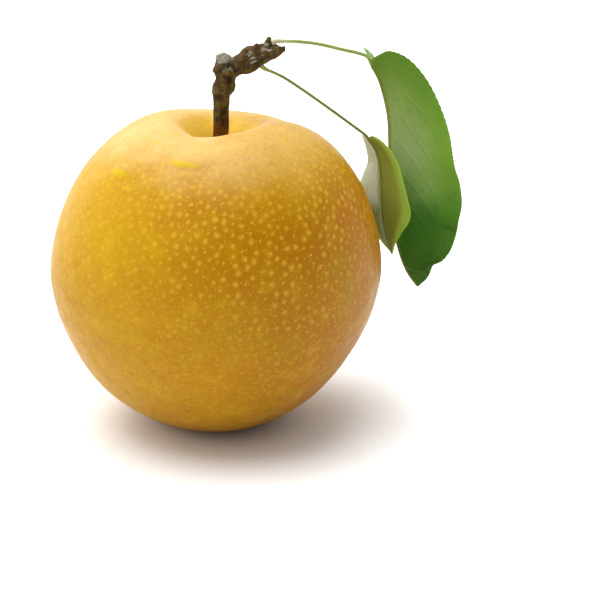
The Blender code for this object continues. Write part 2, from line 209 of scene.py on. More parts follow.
# Its top runs a little way into the spur, which it grew from
STALK_ROUTE = [(2.5, 0.0, 81.4), (2.7, 0.0, 88.0), (2.8, 0.0, 92.2)]
STALK_SIDES = 72
STALK_RINGS = 170
STALK_TOP_SHARE = 0.2
# Ribs of the stalk, in shares of the rib depth, and its slow swellings
STALK_RIBS = [(9, 0.0, 1.5, 0.35), (14, 1.0, -2.5, 0.2)]
STALK_SWELLINGS = [(2, 0.0, 5.0, 0.06 * MM)]
# Grain of the stalk's wood: size and height
STALK_STREAKS = (0.9 * MM, 0.07 * MM)
STALK_BUMPS = (1.1 * MM, 0.25 * MM)
STALK_FLAKES = (1.7 * MM, 0.13 * MM)
STREAK_STRETCH = (1.0, 1.0, 0.22)
# Height where its bark begins, and the length over which it comes in
STALK_BARK_START = 83 * MM
STALK_BARK_RISE = 6 * MM
# Relief that counts as one for the bark's colour
STALK_RELIEF = 0.35 * MM
# Steps of the stalk's colours
STREAK_LIGHT = (0.5, 0.72)
STREAK_DARK = (0.47, 0.3, 0.0, 0.8)
DRY_TOP = (0.42, 0.72)
DRY_RAGGEDNESS = 0.7
STREAK_GRAIN = (0.8 * MM, 4.0, 0.6)
STREAK_SCALE = (1.0, 1.0, 0.18)
DRY_GRAIN = (2.2 * MM, 3.0)
STALK_BUMP = (0.12 * MM, 0.7)
STALK_ROUGHNESS = 0.5
STALK_SPECULAR = 0.25

# Spur, as in its solid
TRUNK_ROUTE = [(2.8, 0.0, 91.87), (2.84, 0.0, 93.0), (3.5, 0.0, 95.2), (3.9, 0.1, 98.0),
               (3.7, 0.2, 101.0), (2.7, 0.2, 103.6)]
TRUNK_RADII = [2.3, 2.6, 2.6, 2.9, 2.5, 1.2]
ARM_ROUTE = [(3.6, 0.2, 99.2), (7.9, 1.0, 100.6), (11.1, 2.0, 101.9), (13.7, 3.0, 102.7),
             (16.4, 4.0, 103.4), (19.7, 5.0, 103.7)]
ARM_RADII = [2.3, 2.6, 3.0, 2.9, 1.9, 0.7]
# Swellings of the wood: how many lie round a limb, their twist and how far on they start from limb to limb
WOOD_SWELLINGS = [(3, 7, 1), (2, -15, 2)]
WOOD_ROUGHNESS = 0.07
# Buds and stubs of twigs: foot, tip and radius, in millimetres
NUBS = [
    ((14.9, 3.8, 104.0), (15.6, 4.0, 107.1), 0.95),
    ((11.6, 1.4, 103.6), (12.4, 1.0, 106.1), 1.1),
    ((9.6, 3.6, 101.8), (10.2, 6.0, 103.4), 1.2),
    ((4.6, -1.0, 98.6), (5.4, -3.6, 99.6), 1.2),
    ((3.4, 1.4, 96.2), (3.0, 3.9, 97.4), 1.1),
]
NUB_BLUNTNESS = 1.04
SPUR_FOOT = 91.87 * MM
WOOD_SIDES = 48
NUB_RINGS = 16
LIMB_MARKS = 60
WOOD_RING_SPACING = 0.25 * MM
WOOD_VOXEL = 0.11 * MM
SCAR_RING_SPACING = 2.4 * MM
SCAR_RING_WIDTH = 0.16 * MM
RING_GRAIN = (3.5 * MM, 4.0)
RING_WANDER = 0.5 * MM
RING_BREAKS = (4 * MM, 6.0)
RING_WHOLENESS = 0.7
# Relief of the bark: the size of each grain, its shift in the noise and its height in the bark's depth
BARK_RIDGES = (1.15 * MM, 2.0)
BARK_GRAINS = [(1.6 * MM, 5.0, 0.2), (0.45 * MM, 9.0, 0.06), (3.0 * MM, 11.0, 0.16)]
RIDGE_HEIGHT = 0.2
RING_DEPTH = 0.12
JOINT_LENGTH = 1.4 * MM
# How far the bark's grain is drawn out along a limb, and how far it differs from limb to limb
BARK_STRETCH = 0.3
LIMB_SHIFT = 0.05
# Grains and steps of the bark's colours
BARK_GRAIN = (0.5 * MM, 4.0, 0.65)
OLIVE_BARK_GRAIN = (2.4 * MM, 3.0, 0.55)
DARK_BARK_GRAIN = (1.7 * MM, 3.0, 0.55)
LICHEN_GRAIN = (2.6 * MM, 3.0, 0.6)
BARK_TOP = (-0.3, 0.15)
OLIVE_BARK = (0.46, 0.62, 0.0, 0.8)
DARK_BARK = (0.5, 0.62, 0.0, 0.75)
WORN_RIDGES = (0.1, 0.36)
WORN_SHARE = 0.6
LICHEN_PATCHES = (0.54, 0.64)
LICHEN_FACING = (-0.3, -0.3, 1.0)
LICHEN_RISE = ("Z", 98 * MM, 101 * MM)
BROKEN_TOP = ("Z", 101.2 * MM, 102.8 * MM)
BROKEN_LEFT = ("X", -5 * MM, -7.5 * MM)
BARK_STRETCHED = (1.0, 1.3, 0.8)
FINE_RIDGES = (0.4, 0.6)
LICHEN_UPWARD = (0.25, 0.8)
LICHEN_GRAINS = (0.3, 0.6, 0.35, 0.85)
BARK_ROUGHNESS = 0.82
BARK_SPECULAR = 0.2
BARK_BUMP = (0.2 * MM, 0.8)

# Leaves, on the lines of their solids: petiole and midrib are one line, in millimetres from the fruit's foot
LARGE_LEAF = {
    "petiole": [(17.3, 4.45, 106.0), (18.7, 4.9, 105.95), (22.5, 7.0, 105.3), (26.9, 10.0, 104.1),
                (30.7, 13.0, 102.6), (35.6, 16.0, 100.6), (39.5, 18.3, 99.1)],
    "midrib": [(42.3, 20.0, 97.5), (44.3, 21.0, 93.9), (46.3, 22.0, 89.3), (48.4, 22.2, 80.5),
               (48.9, 22.2, 71.7), (49.1, 22.0, 62.9), (49.6, 21.2, 52.5), (51.5, 20.0, 42.5),
               (54.0, 18.8, 35.6), (57.1, 17.4, 31.3)],
    "half_width": 23.9 * MM,
    "near_fold": (math.radians(84), math.radians(57)),
    "far_fold": (math.radians(0), math.radians(25)),
    "near_curl": math.radians(-8),
    "far_curl": math.radians(-14),
    "widest": 0.50,
    "base_fullness": 0.76,
    "tip_fullness": 0.37,
    "wave": 0.45 * MM,
    "waves": 2.5,
    "foot_radius": 0.6 * MM,
    "petiole_radius": 0.5 * MM,
    "teeth": 84,
    "tooth_depth": 0.28 * MM,
    "foot_back": (-1.1, -0.35, -0.5),
    "columns": 48,
    "vein_lean": 0.75,
    "relief": 0.8,
}
SMALL_LEAF = {
    "petiole": [(13.9, 3.1, 99.2), (14.8, 3.5, 98.5), (17.0, 4.4, 97.3), (20.1, 5.5, 95.35),
                (25.8, 8.0, 90.7), (31.8, 10.5, 85.6), (38.15, 13.0, 80.1)],
    "midrib": [(42.05, 14.0, 76.75), (44.3, 14.5, 73.8), (45.8, 14.6, 70.0), (46.4, 14.6, 65.3),
               (46.6, 14.6, 59.5), (46.9, 14.5, 53.3), (47.9, 14.0, 47.6), (49.6, 13.0, 42.6)],
    "half_width": 11.6 * MM,
    "near_fold": (math.radians(34), math.radians(36)),
    "far_fold": (math.radians(-24), math.radians(-24)),
    "near_curl": math.radians(6),
    "far_curl": math.radians(-10),
    "widest": 0.47,
    "base_fullness": 0.85,
    "tip_fullness": 0.85,
    "wave": 0.5 * MM,
    "waves": 2.0,
    "foot_radius": 0.6 * MM,
    "petiole_radius": 0.42 * MM,
    "teeth": 50,
    "tooth_depth": 0.22 * MM,
    "foot_back": (-0.6, -0.25, 0.9),
    "columns": 40,
    "vein_lean": 2.2,
    "relief": 0.35,
}
RIB_WIDTH = 1.1 * MM
RIB_HEIGHT = 0.5 * MM
RIB_TAPER = 0.8
RIB_WIDEST_SHARE = 0.23
RIB_SPREAD = 0.85
CREASE_ROUNDING = 0.5
TOOTH_LEAN = 0.68
TOOTH_FADE = 0.33
TOOTH_ROOT = 0.9
TIP_HALF_WIDTH = 0.35 * MM
BLADE_START = 0.05
BASE_SLANT = -0.65
ROW_SLANT = 0.35
FOLD_LENGTH = 0.35
SLANT_LENGTH = 0.25
ROWS_PER_TOOTH = 5
PETIOLE_ROW_SPACING = 0.5 * MM
FOOT_FLARE_LENGTH = 4.0 * MM
TOOTH_CURVE = 1.3
VEIN_BEND = 0.5
VEIN_SPREAD = 0.3 * MM
# Side veins grow thinner outwards and end before the margin and near the blade's ends
VEIN_THINNING = (1.2, 0.6)
VEIN_STEEPNESS = 0.8
VEIN_UNEVENNESS = (0.07, 3.1)
VEIN_MARGIN = 0.35
VEIN_END_WIDTH = 0.25
# Quilting between the veins: the size of each grain, its shift in the noise and its height
QUILT_GRAINS = [(6.5 * MM, 3.0, 0.22 * MM), (2.4 * MM, 7.0, 0.07 * MM)]
QUILT_RISE = 0.14 * MM
QUILT_EDGE = 0.2
QUILT_CREASE = 0.1
MARGIN_THINNING = 0.45
VEIN_GROOVE = 0.6
RIB_GROOVE = 0.15 * MM
FOOT_FLARE = 1.25
PETIOLE_GROOVE = (0.35, 0.4)
SHARP_EDGE = math.radians(62)
STEM_LENGTH = 10 * MM
# Grains and steps of the leaves' colours
LEAF_BROAD = (16 * MM, 3.0, 0.5)
LEAF_SMALL = (1.6 * MM, 4.0, 0.6)
LEAF_RAGGEDNESS = 0.7
ZONE_RAGGEDNESS = 0.35
NET_SPACING = 1.5 * MM
PORE_SPACING = 0.32 * MM
NET_SHARE = 0.12
LIGHT_PATCHES = (0.25, 0.6, 0.5, 1.0)
LIGHT_END = (0.68, 0.38)
BASE_END = (0.3, 0.0, 0.0, 0.8)
# Painted sheen: a paler zone by the midrib, where the blade's gloss would reflect the light
PAINTED_SHEEN_ACROSS = (0.95, 0.1)
PAINTED_SHEEN_START = (0.08, 0.36)
PAINTED_SHEEN_END = (0.74, 0.26)
PAINTED_SHEEN_FAR = (0.0, 1.0, 1.0, 0.35)
DEEP_SPOTS = (0.5, 0.8, 0.0, 0.3)
BAND_ACROSS = (0.6, 0.85)
# Painted sheen on the far half of each blade, pale where it is seen at a grazing slant
FAR_FADE = 0.08
FAR_ACROSS = (0.12, 0.34)
FAR_UNDER = (0.0, 1.0, 0.4, 1.0)
UNDER_SHARE = 0.35
RIB_ACROSS = (0.1, 0.8, 0.0, 0.7)
STEM_FOOT = (0.2, 0.9)
NET_EDGE = (0.1, 0.0)
LEAF_GLOSS_RANGE = (-0.04, 0.08)
PORE_BUMP = (0.03 * MM, 0.4)
NET_BUMP = (0.04 * MM, 0.4)
LEAF_SHADER = {
    "specular_ior_level": 0.14,
    "specular_tint": (0.85, 1.0, 0.6, 1.0),
    "subsurface_weight": 0.1,
    "subsurface_scale": 1.0 * MM,
    "subsurface_radius": (0.5, 1.0, 0.1),
}
# Colours, shares and roughness of each leaf
LARGE_LEAF_COLOURS = {
    "base": (0.070, 0.175, 0.001, 1.0),
    "band": (0.10, 0.24, 0.012, 1.0),
    "band_share": 0.25,
    # Painted sheen on the far half, grey-green
    "far": (0.22, 0.29, 0.16, 1.0),
    "far_sheen_share": 0.6,
    "far_sheen_end": 0.16,
    "vein": (0.20, 0.33, 0.06, 1.0),
    "vein_share": 0.13,
    "under": (0.12, 0.22, 0.05, 1.0),
    "rib": (0.16, 0.19, 0.03, 1.0),
    "foot": (0.45, 0.42, 0.25, 1.0),
    "petiole": (0.27, 0.33, 0.09, 1.0),
    "roughness": 0.45,
}
SMALL_LEAF_COLOURS = {
    # Painted sheen by the midrib of the small leaf
    "painted_sheen": (0.27, 0.33, 0.04, 1.0),
    "base": (0.13, 0.14, 0.012, 1.0),
    "band": (0.40, 0.66, 0.06, 1.0),
    "band_share": 0.85,
    # Painted sheen on the far half, pale bluish green
    "far": (0.84, 1.0, 0.90, 1.0),
    "far_sheen_share": 1.0,
    "far_sheen_end": 0.59,
    "vein": (0.32, 0.36, 0.09, 1.0),
    "vein_share": 0.35,
    "under": (0.26, 0.32, 0.10, 1.0),
    "rib": (0.15, 0.17, 0.02, 1.0),
    "foot": (0.30, 0.32, 0.08, 1.0),
    "petiole": (0.20, 0.23, 0.055, 1.0),
    "roughness": 0.42,
}

# Camera of the photograph: where it looks, how high it stands and how far away
CAMERA_TARGET = (11.79 * MM, 0.0, 33.75 * MM)
CAMERA_ELEVATION = math.radians(21.0)
CAMERA_DISTANCE = 0.65
CAMERA_LENS = 141.24

# Brighter parts of the surroundings, on the left, behind and above: their direction, and the cosines to it
# where each starts and where it is full
SKY_LIGHTS = [((-1.0, 0.1, 0.35), -0.2, 1.0), ((0.0, 1.0, 0.15), -0.3, 0.7), ((-0.1, 0.25, 1.0), 0.3, 1.0)]
KEY_DIRECTION = (-0.22, 0.1, 1.3)
SENSOR_WIDTH = 36.0
NEAREST_SEEN = 0.01
FLOOR_ROUGHNESS = 0.9
FLOOR_SPECULAR = 0.1


class Nodes:
    """Nodes of a material or a world, with short calls for the kinds that the finishes use."""

    def __init__(self, tree):
        self.tree = tree

    def feed(self, socket, value):
        """Link a socket to another node's output, or set its own number or colour."""
        if isinstance(value, bpy.types.NodeSocket):
            self.tree.links.new(value, socket)
        else:
            socket.default_value = value

    def node(self, kind, output, inputs=None, **settings):
        """Output of a new node, with its settings and with its inputs by name or by place."""
        made = self.tree.nodes.new(kind)
        for key, value in settings.items():
            setattr(made, key, value)
        for key, value in (inputs or {}).items():
            self.feed(made.inputs[key], value)
        return made.outputs[output]

    def place(self):
        return self.node("ShaderNodeTexCoord", "Object")

    def stretched(self, scale):
        """Place of the surface with each axis scaled, for grain that runs one way."""
        return self.node("ShaderNodeMapping", "Vector", {"Vector": self.place(), "Scale": scale})

    def grain(self, size, detail=3.0, roughness=0.5, place=None):
        """Noise from 0 to 1 with features about size across."""
        place = place or self.place()
        inputs = {"Vector": place, "Scale": 1 / size, "Detail": detail, "Roughness": roughness}
        return self.node("ShaderNodeTexNoise", "Fac", inputs)

    def cells(self, size, feature="F1"):
        """Distance, in cell sizes, from the middles or the edges of random cells."""
        inputs = {"Vector": self.place(), "Scale": 1 / size}
        return self.node("ShaderNodeTexVoronoi", "Distance", inputs, feature=feature)

    def attribute(self, name):
        """Value stored on the mesh's points."""
        return self.node("ShaderNodeAttribute", "Fac", attribute_name=name)

    def toward(self, vector, direction):
        """Cosine between a direction and a fixed one."""
        inputs = {0: vector, 1: Vector(direction).normalized()}
        return self.node("ShaderNodeVectorMath", "Value", inputs, operation="DOT_PRODUCT")

    def axis(self, name):
        return self.node("ShaderNodeSeparateXYZ", name, {"Vector": self.place()})

    def ease(self, value, start, end, low=0.0, high=1.0):
        """Smooth step from low to high while value goes from start to end."""
        inputs = {"Value": value, "From Min": start, "From Max": end, "To Min": low, "To Max": high}
        return self.node("ShaderNodeMapRange", "Result", inputs, interpolation_type="SMOOTHSTEP")

    def along(self, axis, start, end, low=0.0, high=1.0):
        """Smooth step from low to high between two places along an axis of the frame."""
        return self.ease(self.axis(axis), start, end, low, high)

    def math(self, operation, first, second):
        return self.node("ShaderNodeMath", "Value", {0: first, 1: second}, operation=operation)

    def times(self, *values):
        """Product of two or more values."""
        product = values[0]
        for value in values[1:]:
            product = self.math("MULTIPLY", product, value)
        return product

    def plus(self, first, second):
        return self.math("ADD", first, second)

    def swing(self, value, reach):
        """Noise turned to swing evenly round nothing, by half of reach each way."""
        return self.times(self.math("SUBTRACT", value, 0.5), reach)

    def blend(self, share, first, second):
        """Colour between two colours."""
        inputs = {MIX_SHARE: share, MIX_FIRST: first, MIX_SECOND: second}
        return self.node("ShaderNodeMix", MIX_RESULT, inputs, data_type="RGBA")

    def bump(self, height, depth, strength, normal=None):
        """Normal from a height of 0 to 1 that stands depth metres proud."""
        inputs = {"Height": height, "Distance": depth, "Strength": strength}
        if normal:
            inputs["Normal"] = normal
        return self.node("ShaderNodeBump", "Normal", inputs)


class Finish(Nodes):
    """Material with one Principled shader, for one of the record's material slots."""

    def __init__(self, slot):
        self.slot = slot
        self.material = bpy.data.materials.new(slot + "_finish")
        self.material.use_nodes = True
        super().__init__(self.material.node_tree)
        self.shader = self.tree.nodes["Principled BSDF"]

    def set(self, **values):
        """Set or link the shader's sockets, named in lower case with underscores."""
        for key, value in values.items():
            wanted = key.replace("_", " ")
            socket = next(s for s in self.shader.inputs if s.name.lower() == wanted)
            self.feed(socket, value)


def smooth(value):
    """Ease from 0 to 1 while value goes from 0 to 1."""
    value = np.clip(value, 0.0, 1.0)
    return value * value * (3 - 2 * value)


def mix(first, second, share):
    return first + (second - first) * share


def from_foot(x, y, z):
    """Point in metres for millimetres measured from the middle of the fruit's foot."""
    return Vector((FRUIT_X + x * MM, FRUIT_Y + y * MM, z * MM))


def unit(vectors):
    return vectors / np.maximum(np.linalg.norm(vectors, axis=-1, keepdims=True), 1e-12)


def grain(points, size, shift=0.0):
    """Smooth noise from -1 to 1 at each point, with features about size across."""
    offset = Vector((shift, -shift, 2 * shift))
    flat = np.asarray(points).reshape(-1, 3)
    values = [noise.noise(Vector(point) + offset) for point in (flat / size).tolist()]
    return np.array(values).reshape(np.shape(points)[:-1])


def front_of(direction):
    """Direction square to another one, as near to the front as it can be."""
    return (Vector((0, -1, 0)) - direction * -direction.y).normalized()


class Route:
    """Smooth line through a few points, read by the distance along it."""

    def __init__(self, points, pieces=12):
        ends = [points[0] * 2 - points[1]] + list(points) + [points[-1] * 2 - points[-2]]
        self.points = []
        for i in range(1, len(ends) - 2):
            for piece in range(pieces):
                self.points.append(self.between(ends[i - 1:i + 3], piece / pieces))
        self.points.append(points[-1])
        self.marks = [0.0]
        for first, second in zip(self.points, self.points[1:]):
            self.marks.append(self.marks[-1] + (second - first).length)
        self.length = self.marks[-1]

    @staticmethod
    def between(four, t):
        """Catmull-Rom point between the middle two of four points."""
        a, b, c, d = four
        square = (2 * a - 5 * b + 4 * c - d) * t ** 2
        cube = (3 * b - a - 3 * c + d) * t ** 3
        return 0.5 * (2 * b + (c - a) * t + square + cube)

    def at(self, distance):
        """Point and direction at a distance from the start."""
        distance = min(max(distance, 0.0), self.length)
        i = 0
        while i < len(self.marks) - 2 and self.marks[i + 1] < distance:
            i += 1
        share = (distance - self.marks[i]) / (self.marks[i + 1] - self.marks[i])
        before = self.points[max(i - 1, 0)]
        after = self.points[min(i + 2, len(self.points) - 1)]
        return self.points[i].lerp(self.points[i + 1], share), (after - before).normalized()


def tube_faces(rings, sides, first=0):
    """Faces of a closed tube of rings, fanned to one point at each end."""
    def corner(ring, side):
        return first + ring * sides + side % sides

    faces = []
    for ring in range(rings - 1):
        for side in range(sides):
            faces.append((corner(ring, side), corner(ring, side + 1),
                          corner(ring + 1, side + 1), corner(ring + 1, side)))
    start = first + rings * sides
    for side in range(sides):
        faces.append((start, corner(0, side + 1), corner(0, side)))
        faces.append((corner(rings - 1, side), corner(rings - 1, side + 1), start + 1))
    return faces


def tube_points(rings):
    """Points of a tube's rings in one list, with the middle of each end last."""
    ends = np.array([rings[0].mean(axis=0), rings[-1].mean(axis=0)])
    return np.concatenate([rings.reshape(-1, 3), ends])


def tube_rings(route, radius_at, sides, count):
    """Rings round a route, square to it. radius_at gives the radii for a share and the sides' angles."""
    angles = np.linspace(0, math.tau, sides, endpoint=False)
    rings = []
    side = Vector((0, -1, 0))
    for i in range(count + 1):
        share = i / count
        middle, along = route.at(route.length * share)
        side = (side - along * side.dot(along)).normalized()
        over = along.cross(side)
        turned = np.outer(np.cos(angles), side) + np.outer(np.sin(angles), over)
        rings.append(np.array(middle) + turned * radius_at(share, angles)[:, None])
    return np.array(rings)


def add_piece(name, points, faces, finish, node, values, sharp=None):
    """Piece that stands for a node of the frame, with its finish and the values stored on its points."""
    mesh = bpy.data.meshes.new(name)
    mesh.from_pydata(np.asarray(points).tolist(), [], faces)
    store_values(mesh, values)
    return finish_piece(name, mesh, finish, node, sharp)


def store_values(mesh, values):
    """Store named numbers on a mesh's points, for its finish to read."""
    for key, numbers in values.items():
        stored = mesh.attributes.new(key, "FLOAT", "POINT")
        stored.data.foreach_set("value", np.asarray(numbers, dtype=np.float32))


def finish_piece(name, mesh, finish, node, sharp=None):
    """Shade a mesh, give it its finish and let it stand for its node on the body."""
    mesh.shade_smooth()
    if sharp:
        mesh.set_sharp_from_angle(angle=sharp)
    mesh.materials.append(finish.material)
    piece = bpy.data.objects.new(name, mesh)
    bpy.context.scene.collection.objects.link(piece)
    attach(piece, "root")
    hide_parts(node)
    return piece


# Fruit


def rounded_quarter(inner, outer, rise, roundness):
    """Radius and height along a quarter superellipse, from its widest place to its end."""
    turn = np.linspace(0, math.pi / 2, QUARTER_STEPS)
    reach = np.maximum(np.cos(turn), 0.0) ** (2 / roundness)
    return np.column_stack([mix(inner, outer, reach), rise * np.sin(turn) ** (2 / roundness)])


def fruit_profile():
    """Radius and height of the skin, from the middle of the calyx basin to the collar round the stalk."""
    share = np.linspace(BASIN_START, 1, BASIN_STEPS)
    basin = np.column_stack([FOOT_INNER_RADIUS * share, BASIN_DEPTH * (1 + np.cos(math.pi * share)) / 2])
    below = rounded_quarter(FOOT_OUTER_RADIUS, FRUIT_RADIUS, WIDEST_HEIGHT, LOWER_ROUNDNESS)[::-1]
    below[:, 1] = WIDEST_HEIGHT - below[:, 1]
    above = rounded_quarter(RIM_RADIUS, FRUIT_RADIUS, RIM_HEIGHT - WIDEST_HEIGHT, UPPER_ROUNDNESS)[1:]
    above[:, 1] += WIDEST_HEIGHT
    share = np.linspace(0, 1, CAVITY_STEPS)[1:]
    drop = CAVITY_DEPTH * (1 - np.cos(math.pi * share ** CAVITY_NARROWING)) / 2
    cavity = np.column_stack([mix(RIM_RADIUS, SOCKET_RADIUS, share), RIM_HEIGHT - drop])
    share = np.linspace(0, 1, COLLAR_STEPS)[1:]
    collar = np.column_stack([mix(SOCKET_RADIUS, COLLAR_RADIUS, share),
                              RIM_HEIGHT - CAVITY_DEPTH - COLLAR_DEPTH * share ** 2])
    return np.concatenate([basin, below, above, cavity, collar])


def evenly(profile, count):
    """The profile's line in even steps, closer in the stem cavity."""
    steps = np.linalg.norm(np.diff(profile, axis=0), axis=1)
    middle = (profile[1:] + profile[:-1]) / 2
    inside = (middle[:, 0] < RIM_RADIUS) & (middle[:, 1] > WIDEST_HEIGHT)
    marks = np.concatenate([[0], np.cumsum(steps * np.where(inside, CAVITY_DENSITY, 1.0))])
    wanted = np.linspace(0, marks[-1], count)
    return np.column_stack([np.interp(wanted, marks, profile[:, k]) for k in range(2)])


def fruit_warp(radius, angle, height):
    """Points of the fruit, with its slight oval, uneven rim and lean."""
    top = smooth((height / RIM_HEIGHT - 1 + RIM_REACH) / RIM_REACH)
    inside = np.minimum(radius / RIM_RADIUS, 1.0) ** 2
    wave = RIM_WAVE * np.cos(2 * (angle - RIM_WAVE_ANGLE)) + RIM_TILT * np.cos(angle - RIM_TILT_ANGLE)
    height = height + top * inside * wave
    body = smooth((radius - FOOT_OUTER_RADIUS) / FOOT_OUTER_RADIUS)
    radius = radius * (1 + OVAL * body * np.cos(2 * (angle - OVAL_ANGLE)))
    x = radius * np.cos(angle)
    y = radius * np.sin(angle)
    lean = LEAN * height / RIM_HEIGHT
    return np.stack([FRUIT_X + x * np.cos(lean) + height * np.sin(lean), FRUIT_Y + y,
                     height * np.cos(lean) - x * np.sin(lean)], axis=-1)


def ring_normals(points):
    """Outward normals of a grid of closed rings."""
    around = np.roll(points, -1, axis=1) - np.roll(points, 1, axis=1)
    return unit(np.cross(around, np.gradient(points, axis=0)))


def folds(waves, angle, share=0.0):
    """Height of a set of swellings at an angle, for a share of the piece's length."""
    return sum(height * np.cos(count * angle + start + twist * share)
               for count, start, twist, height in waves)


def scatter(points, spacing, random):
    """Indices of points at least their own spacing apart, drawn in a seeded order."""
    cell = spacing.max()
    keys = np.floor(points / cell).astype(int).tolist()
    places = points.tolist()
    near = [(a, b, c) for a in (-1, 0, 1) for b in (-1, 0, 1) for c in (-1, 0, 1)]
    taken = {}
    chosen = []
    for i in random.permutation(len(points)).tolist():
        x, y, z = keys[i]
        others = [j for a, b, c in near for j in taken.get((x + a, y + b, z + c), ())]
        if all(math.dist(places[i], places[j]) > spacing[i] for j in others):
            taken.setdefault((x, y, z), []).append(i)
            chosen.append(i)
    return chosen


def lenticels(points, heights, settings):
    """For each point, its distance from the nearest lenticel's middle in that lenticel's radii."""
    random = np.random.default_rng(SEED)
    ends = np.abs(heights - WIDEST_HEIGHT) / WIDEST_HEIGHT
    widest, crowding = LENTICEL_CROWDING
    spacing = settings.lenticel_spacing * (widest - crowding * ends ** 2)
    chosen = scatter(points, spacing, random)
    radii = settings.lenticel_radius * random.uniform(*LENTICEL_SIZES, len(chosen))
    tree = kdtree.KDTree(len(chosen))
    for i, centre in enumerate(points[chosen].tolist()):
        tree.insert(centre, i)
    tree.balance()
    away = np.empty(len(points))
    for i, point in enumerate(points.tolist()):
        _, nearest, distance = tree.find(point)
        away[i] = distance / radii[nearest]
    return np.minimum(away, LENTICEL_LIMIT)


def blisters(points, middles):
    """Height of the small smooth blisters at each point, and how far the point lies on their lower side."""
    height = np.zeros(len(points))
    lower = np.zeros(len(points))
    for middle, (direction, _, length, width, rise) in zip(middles, BLISTERS):
        angle = math.radians(direction)
        offset = points - middle
        side = np.array([-math.sin(angle), math.cos(angle), 0.0])
        across = offset @ side
        rest = np.linalg.norm(offset - np.outer(across, side), axis=1)
        reach = (across / (length * MM)) ** 2 + (rest / (width * MM)) ** 2
        swell = np.exp(-(reach ** BLISTER_BLUNTNESS))
        height += rise * MM * swell
        lower += swell * np.tanh(0.5 - 2 * offset[:, 2] / (width * MM))
    return height, lower


def fruit_grid():
    """Rings of points of the skin, their radii, angles and heights, and which rings lie past the rim."""
    profile = evenly(fruit_profile(), FRUIT_RINGS)
    angles = np.linspace(0, math.tau, FRUIT_SIDES, endpoint=False)
    radius = np.repeat(profile[:, :1], FRUIT_SIDES, axis=1)
    height = np.repeat(profile[:, 1:], FRUIT_SIDES, axis=1)
    angle = np.repeat(angles[None, :], FRUIT_RINGS, axis=0)
    after_rim = np.arange(FRUIT_RINGS) > np.argmax(profile[:, 1])
    return fruit_warp(radius, angle, height), radius, angle, height, after_rim


def place_on(form, height, after_rim, direction, level):
    """Point of the outer skin in a direction in degrees, at a level in millimetres."""
    away = np.where(after_rim, np.inf, np.abs(height[:, 0] - level * MM))
    side = round(direction / 360 * FRUIT_SIDES) % FRUIT_SIDES
    return form[np.argmin(away), side]


def make_fruit(settings):
    """Russet skin with its swellings, lenticels, stem cavity and calyx scar, in one closed mesh."""
    form, radius, angle, height, after_rim = fruit_grid()
    lower = height <= WIDEST_HEIGHT
    into_cavity = smooth((RIM_RADIUS - radius) / (RIM_RADIUS - SOCKET_RADIUS))
    cavity = np.where(after_rim[:, None], into_cavity, 0.0)
    on_side = smooth(height / FOOT_SMOOTHNESS) * (1 - cavity)
    collar = smooth((radius - SOCKET_RADIUS) / COLLAR_SMOOTHNESS)
    into_basin = radius / FOOT_INNER_RADIUS
    in_basin = np.where(lower, smooth(into_basin) * smooth(2 - 2 * into_basin), 0.0)

    relief = folds(BODY_LOBES, angle) * on_side
    relief += folds(CAVITY_FOLDS, angle) * 4 * cavity * (1 - cavity) * collar
    relief += folds(BASIN_FOLDS, angle) * in_basin
    rough = settings.unevenness * np.maximum(on_side, CAVITY_ROUGHNESS * cavity * collar)
    for i, (size, rise) in enumerate(SKIN_GRAINS):
        relief += grain(form, size, i + 1.0) * rise * rough

    flat = form.reshape(-1, 3)
    middles = [place_on(form, height, after_rim, direction, level) for direction, level, *_ in BLISTERS]
    blister, blister_lower = blisters(flat, middles)
    relief += blister.reshape(relief.shape)
    away = lenticels(flat, height.ravel(), settings).reshape(relief.shape)
    seen = (on_side + CAVITY_DOTS * cavity * collar).clip(0, 1)
    relief += settings.lenticel_height * seen * np.clip(1 - (away / LENTICEL_DOME) ** 2, 0, 1)

    points = form + ring_normals(form) * relief[..., None]
    points[..., 2] = np.maximum(points[..., 2], 0.0)
    scar = np.where(lower, smooth((SCAR_RADIUS * SCAR_REACH - radius) / SCAR_RADIUS), 0.0)
    # Each value goes on for the middles of the first and the last ring
    values = {
        "lenticel": np.append(away, [LENTICEL_LIMIT] * 2),
        "cavity": np.append(cavity, [0, 1]),
        "scar": np.append(scar, [1, 0]),
        "blister": np.append(blister_lower, [0, 0]),
    }
    faces = tube_faces(FRUIT_RINGS, FRUIT_SIDES)
    return add_piece("fruit_skin", tube_points(points), faces, skin_finish(settings), "fruit", values)


def skin_ground(f, settings, mottle, behind):
    """Gold on the left that turns to amber on the right and behind, the amber on the right partly painted
    shade, with painted light in straw on the upper left and patches of straw and olive.
    """
    right = f.along(*RIGHT)
    # Amber towards the right: partly the skin's warmer colour, partly painted shade away from the light
    amber_and_shade = f.times(f.math("MAXIMUM", right, f.times(behind, BEHIND_WARMTH)), AMBER_AND_SHADE_SHARE)
    amber_and_shade = f.plus(amber_and_shade, f.ease(f.grain(*BROAD_GRAIN), *BROAD_AMBER))
    colour = f.blend(amber_and_shade, settings.gold, settings.amber)
    colour = f.blend(f.ease(mottle, *MOTTLE_AMBER), colour, settings.amber)
    colour = f.blend(f.ease(mottle, *MOTTLE_STRAW), colour, settings.straw)
    # Painted light: paler straw on the upper left, less of it towards the back
    lit = f.times(f.along(*LIT_RISE), f.along(*LIT_LEFT), f.ease(behind, 0.0, 1.0, 1.0, LIT_BEHIND))
    colour = f.blend(lit, colour, settings.straw)
    green = f.times(f.ease(f.grain(*OLIVE_GRAIN), *OLIVE_PATCHES), right)
    colour = f.blend(green, colour, settings.olive)
    flush = f.ease(f.grain(*FLUSH_GRAIN), *FLUSH_PATCHES)
    return f.blend(f.times(flush, f.along(*FAR_RIGHT), f.along(*FLUSH_RISE)), colour, settings.orange)


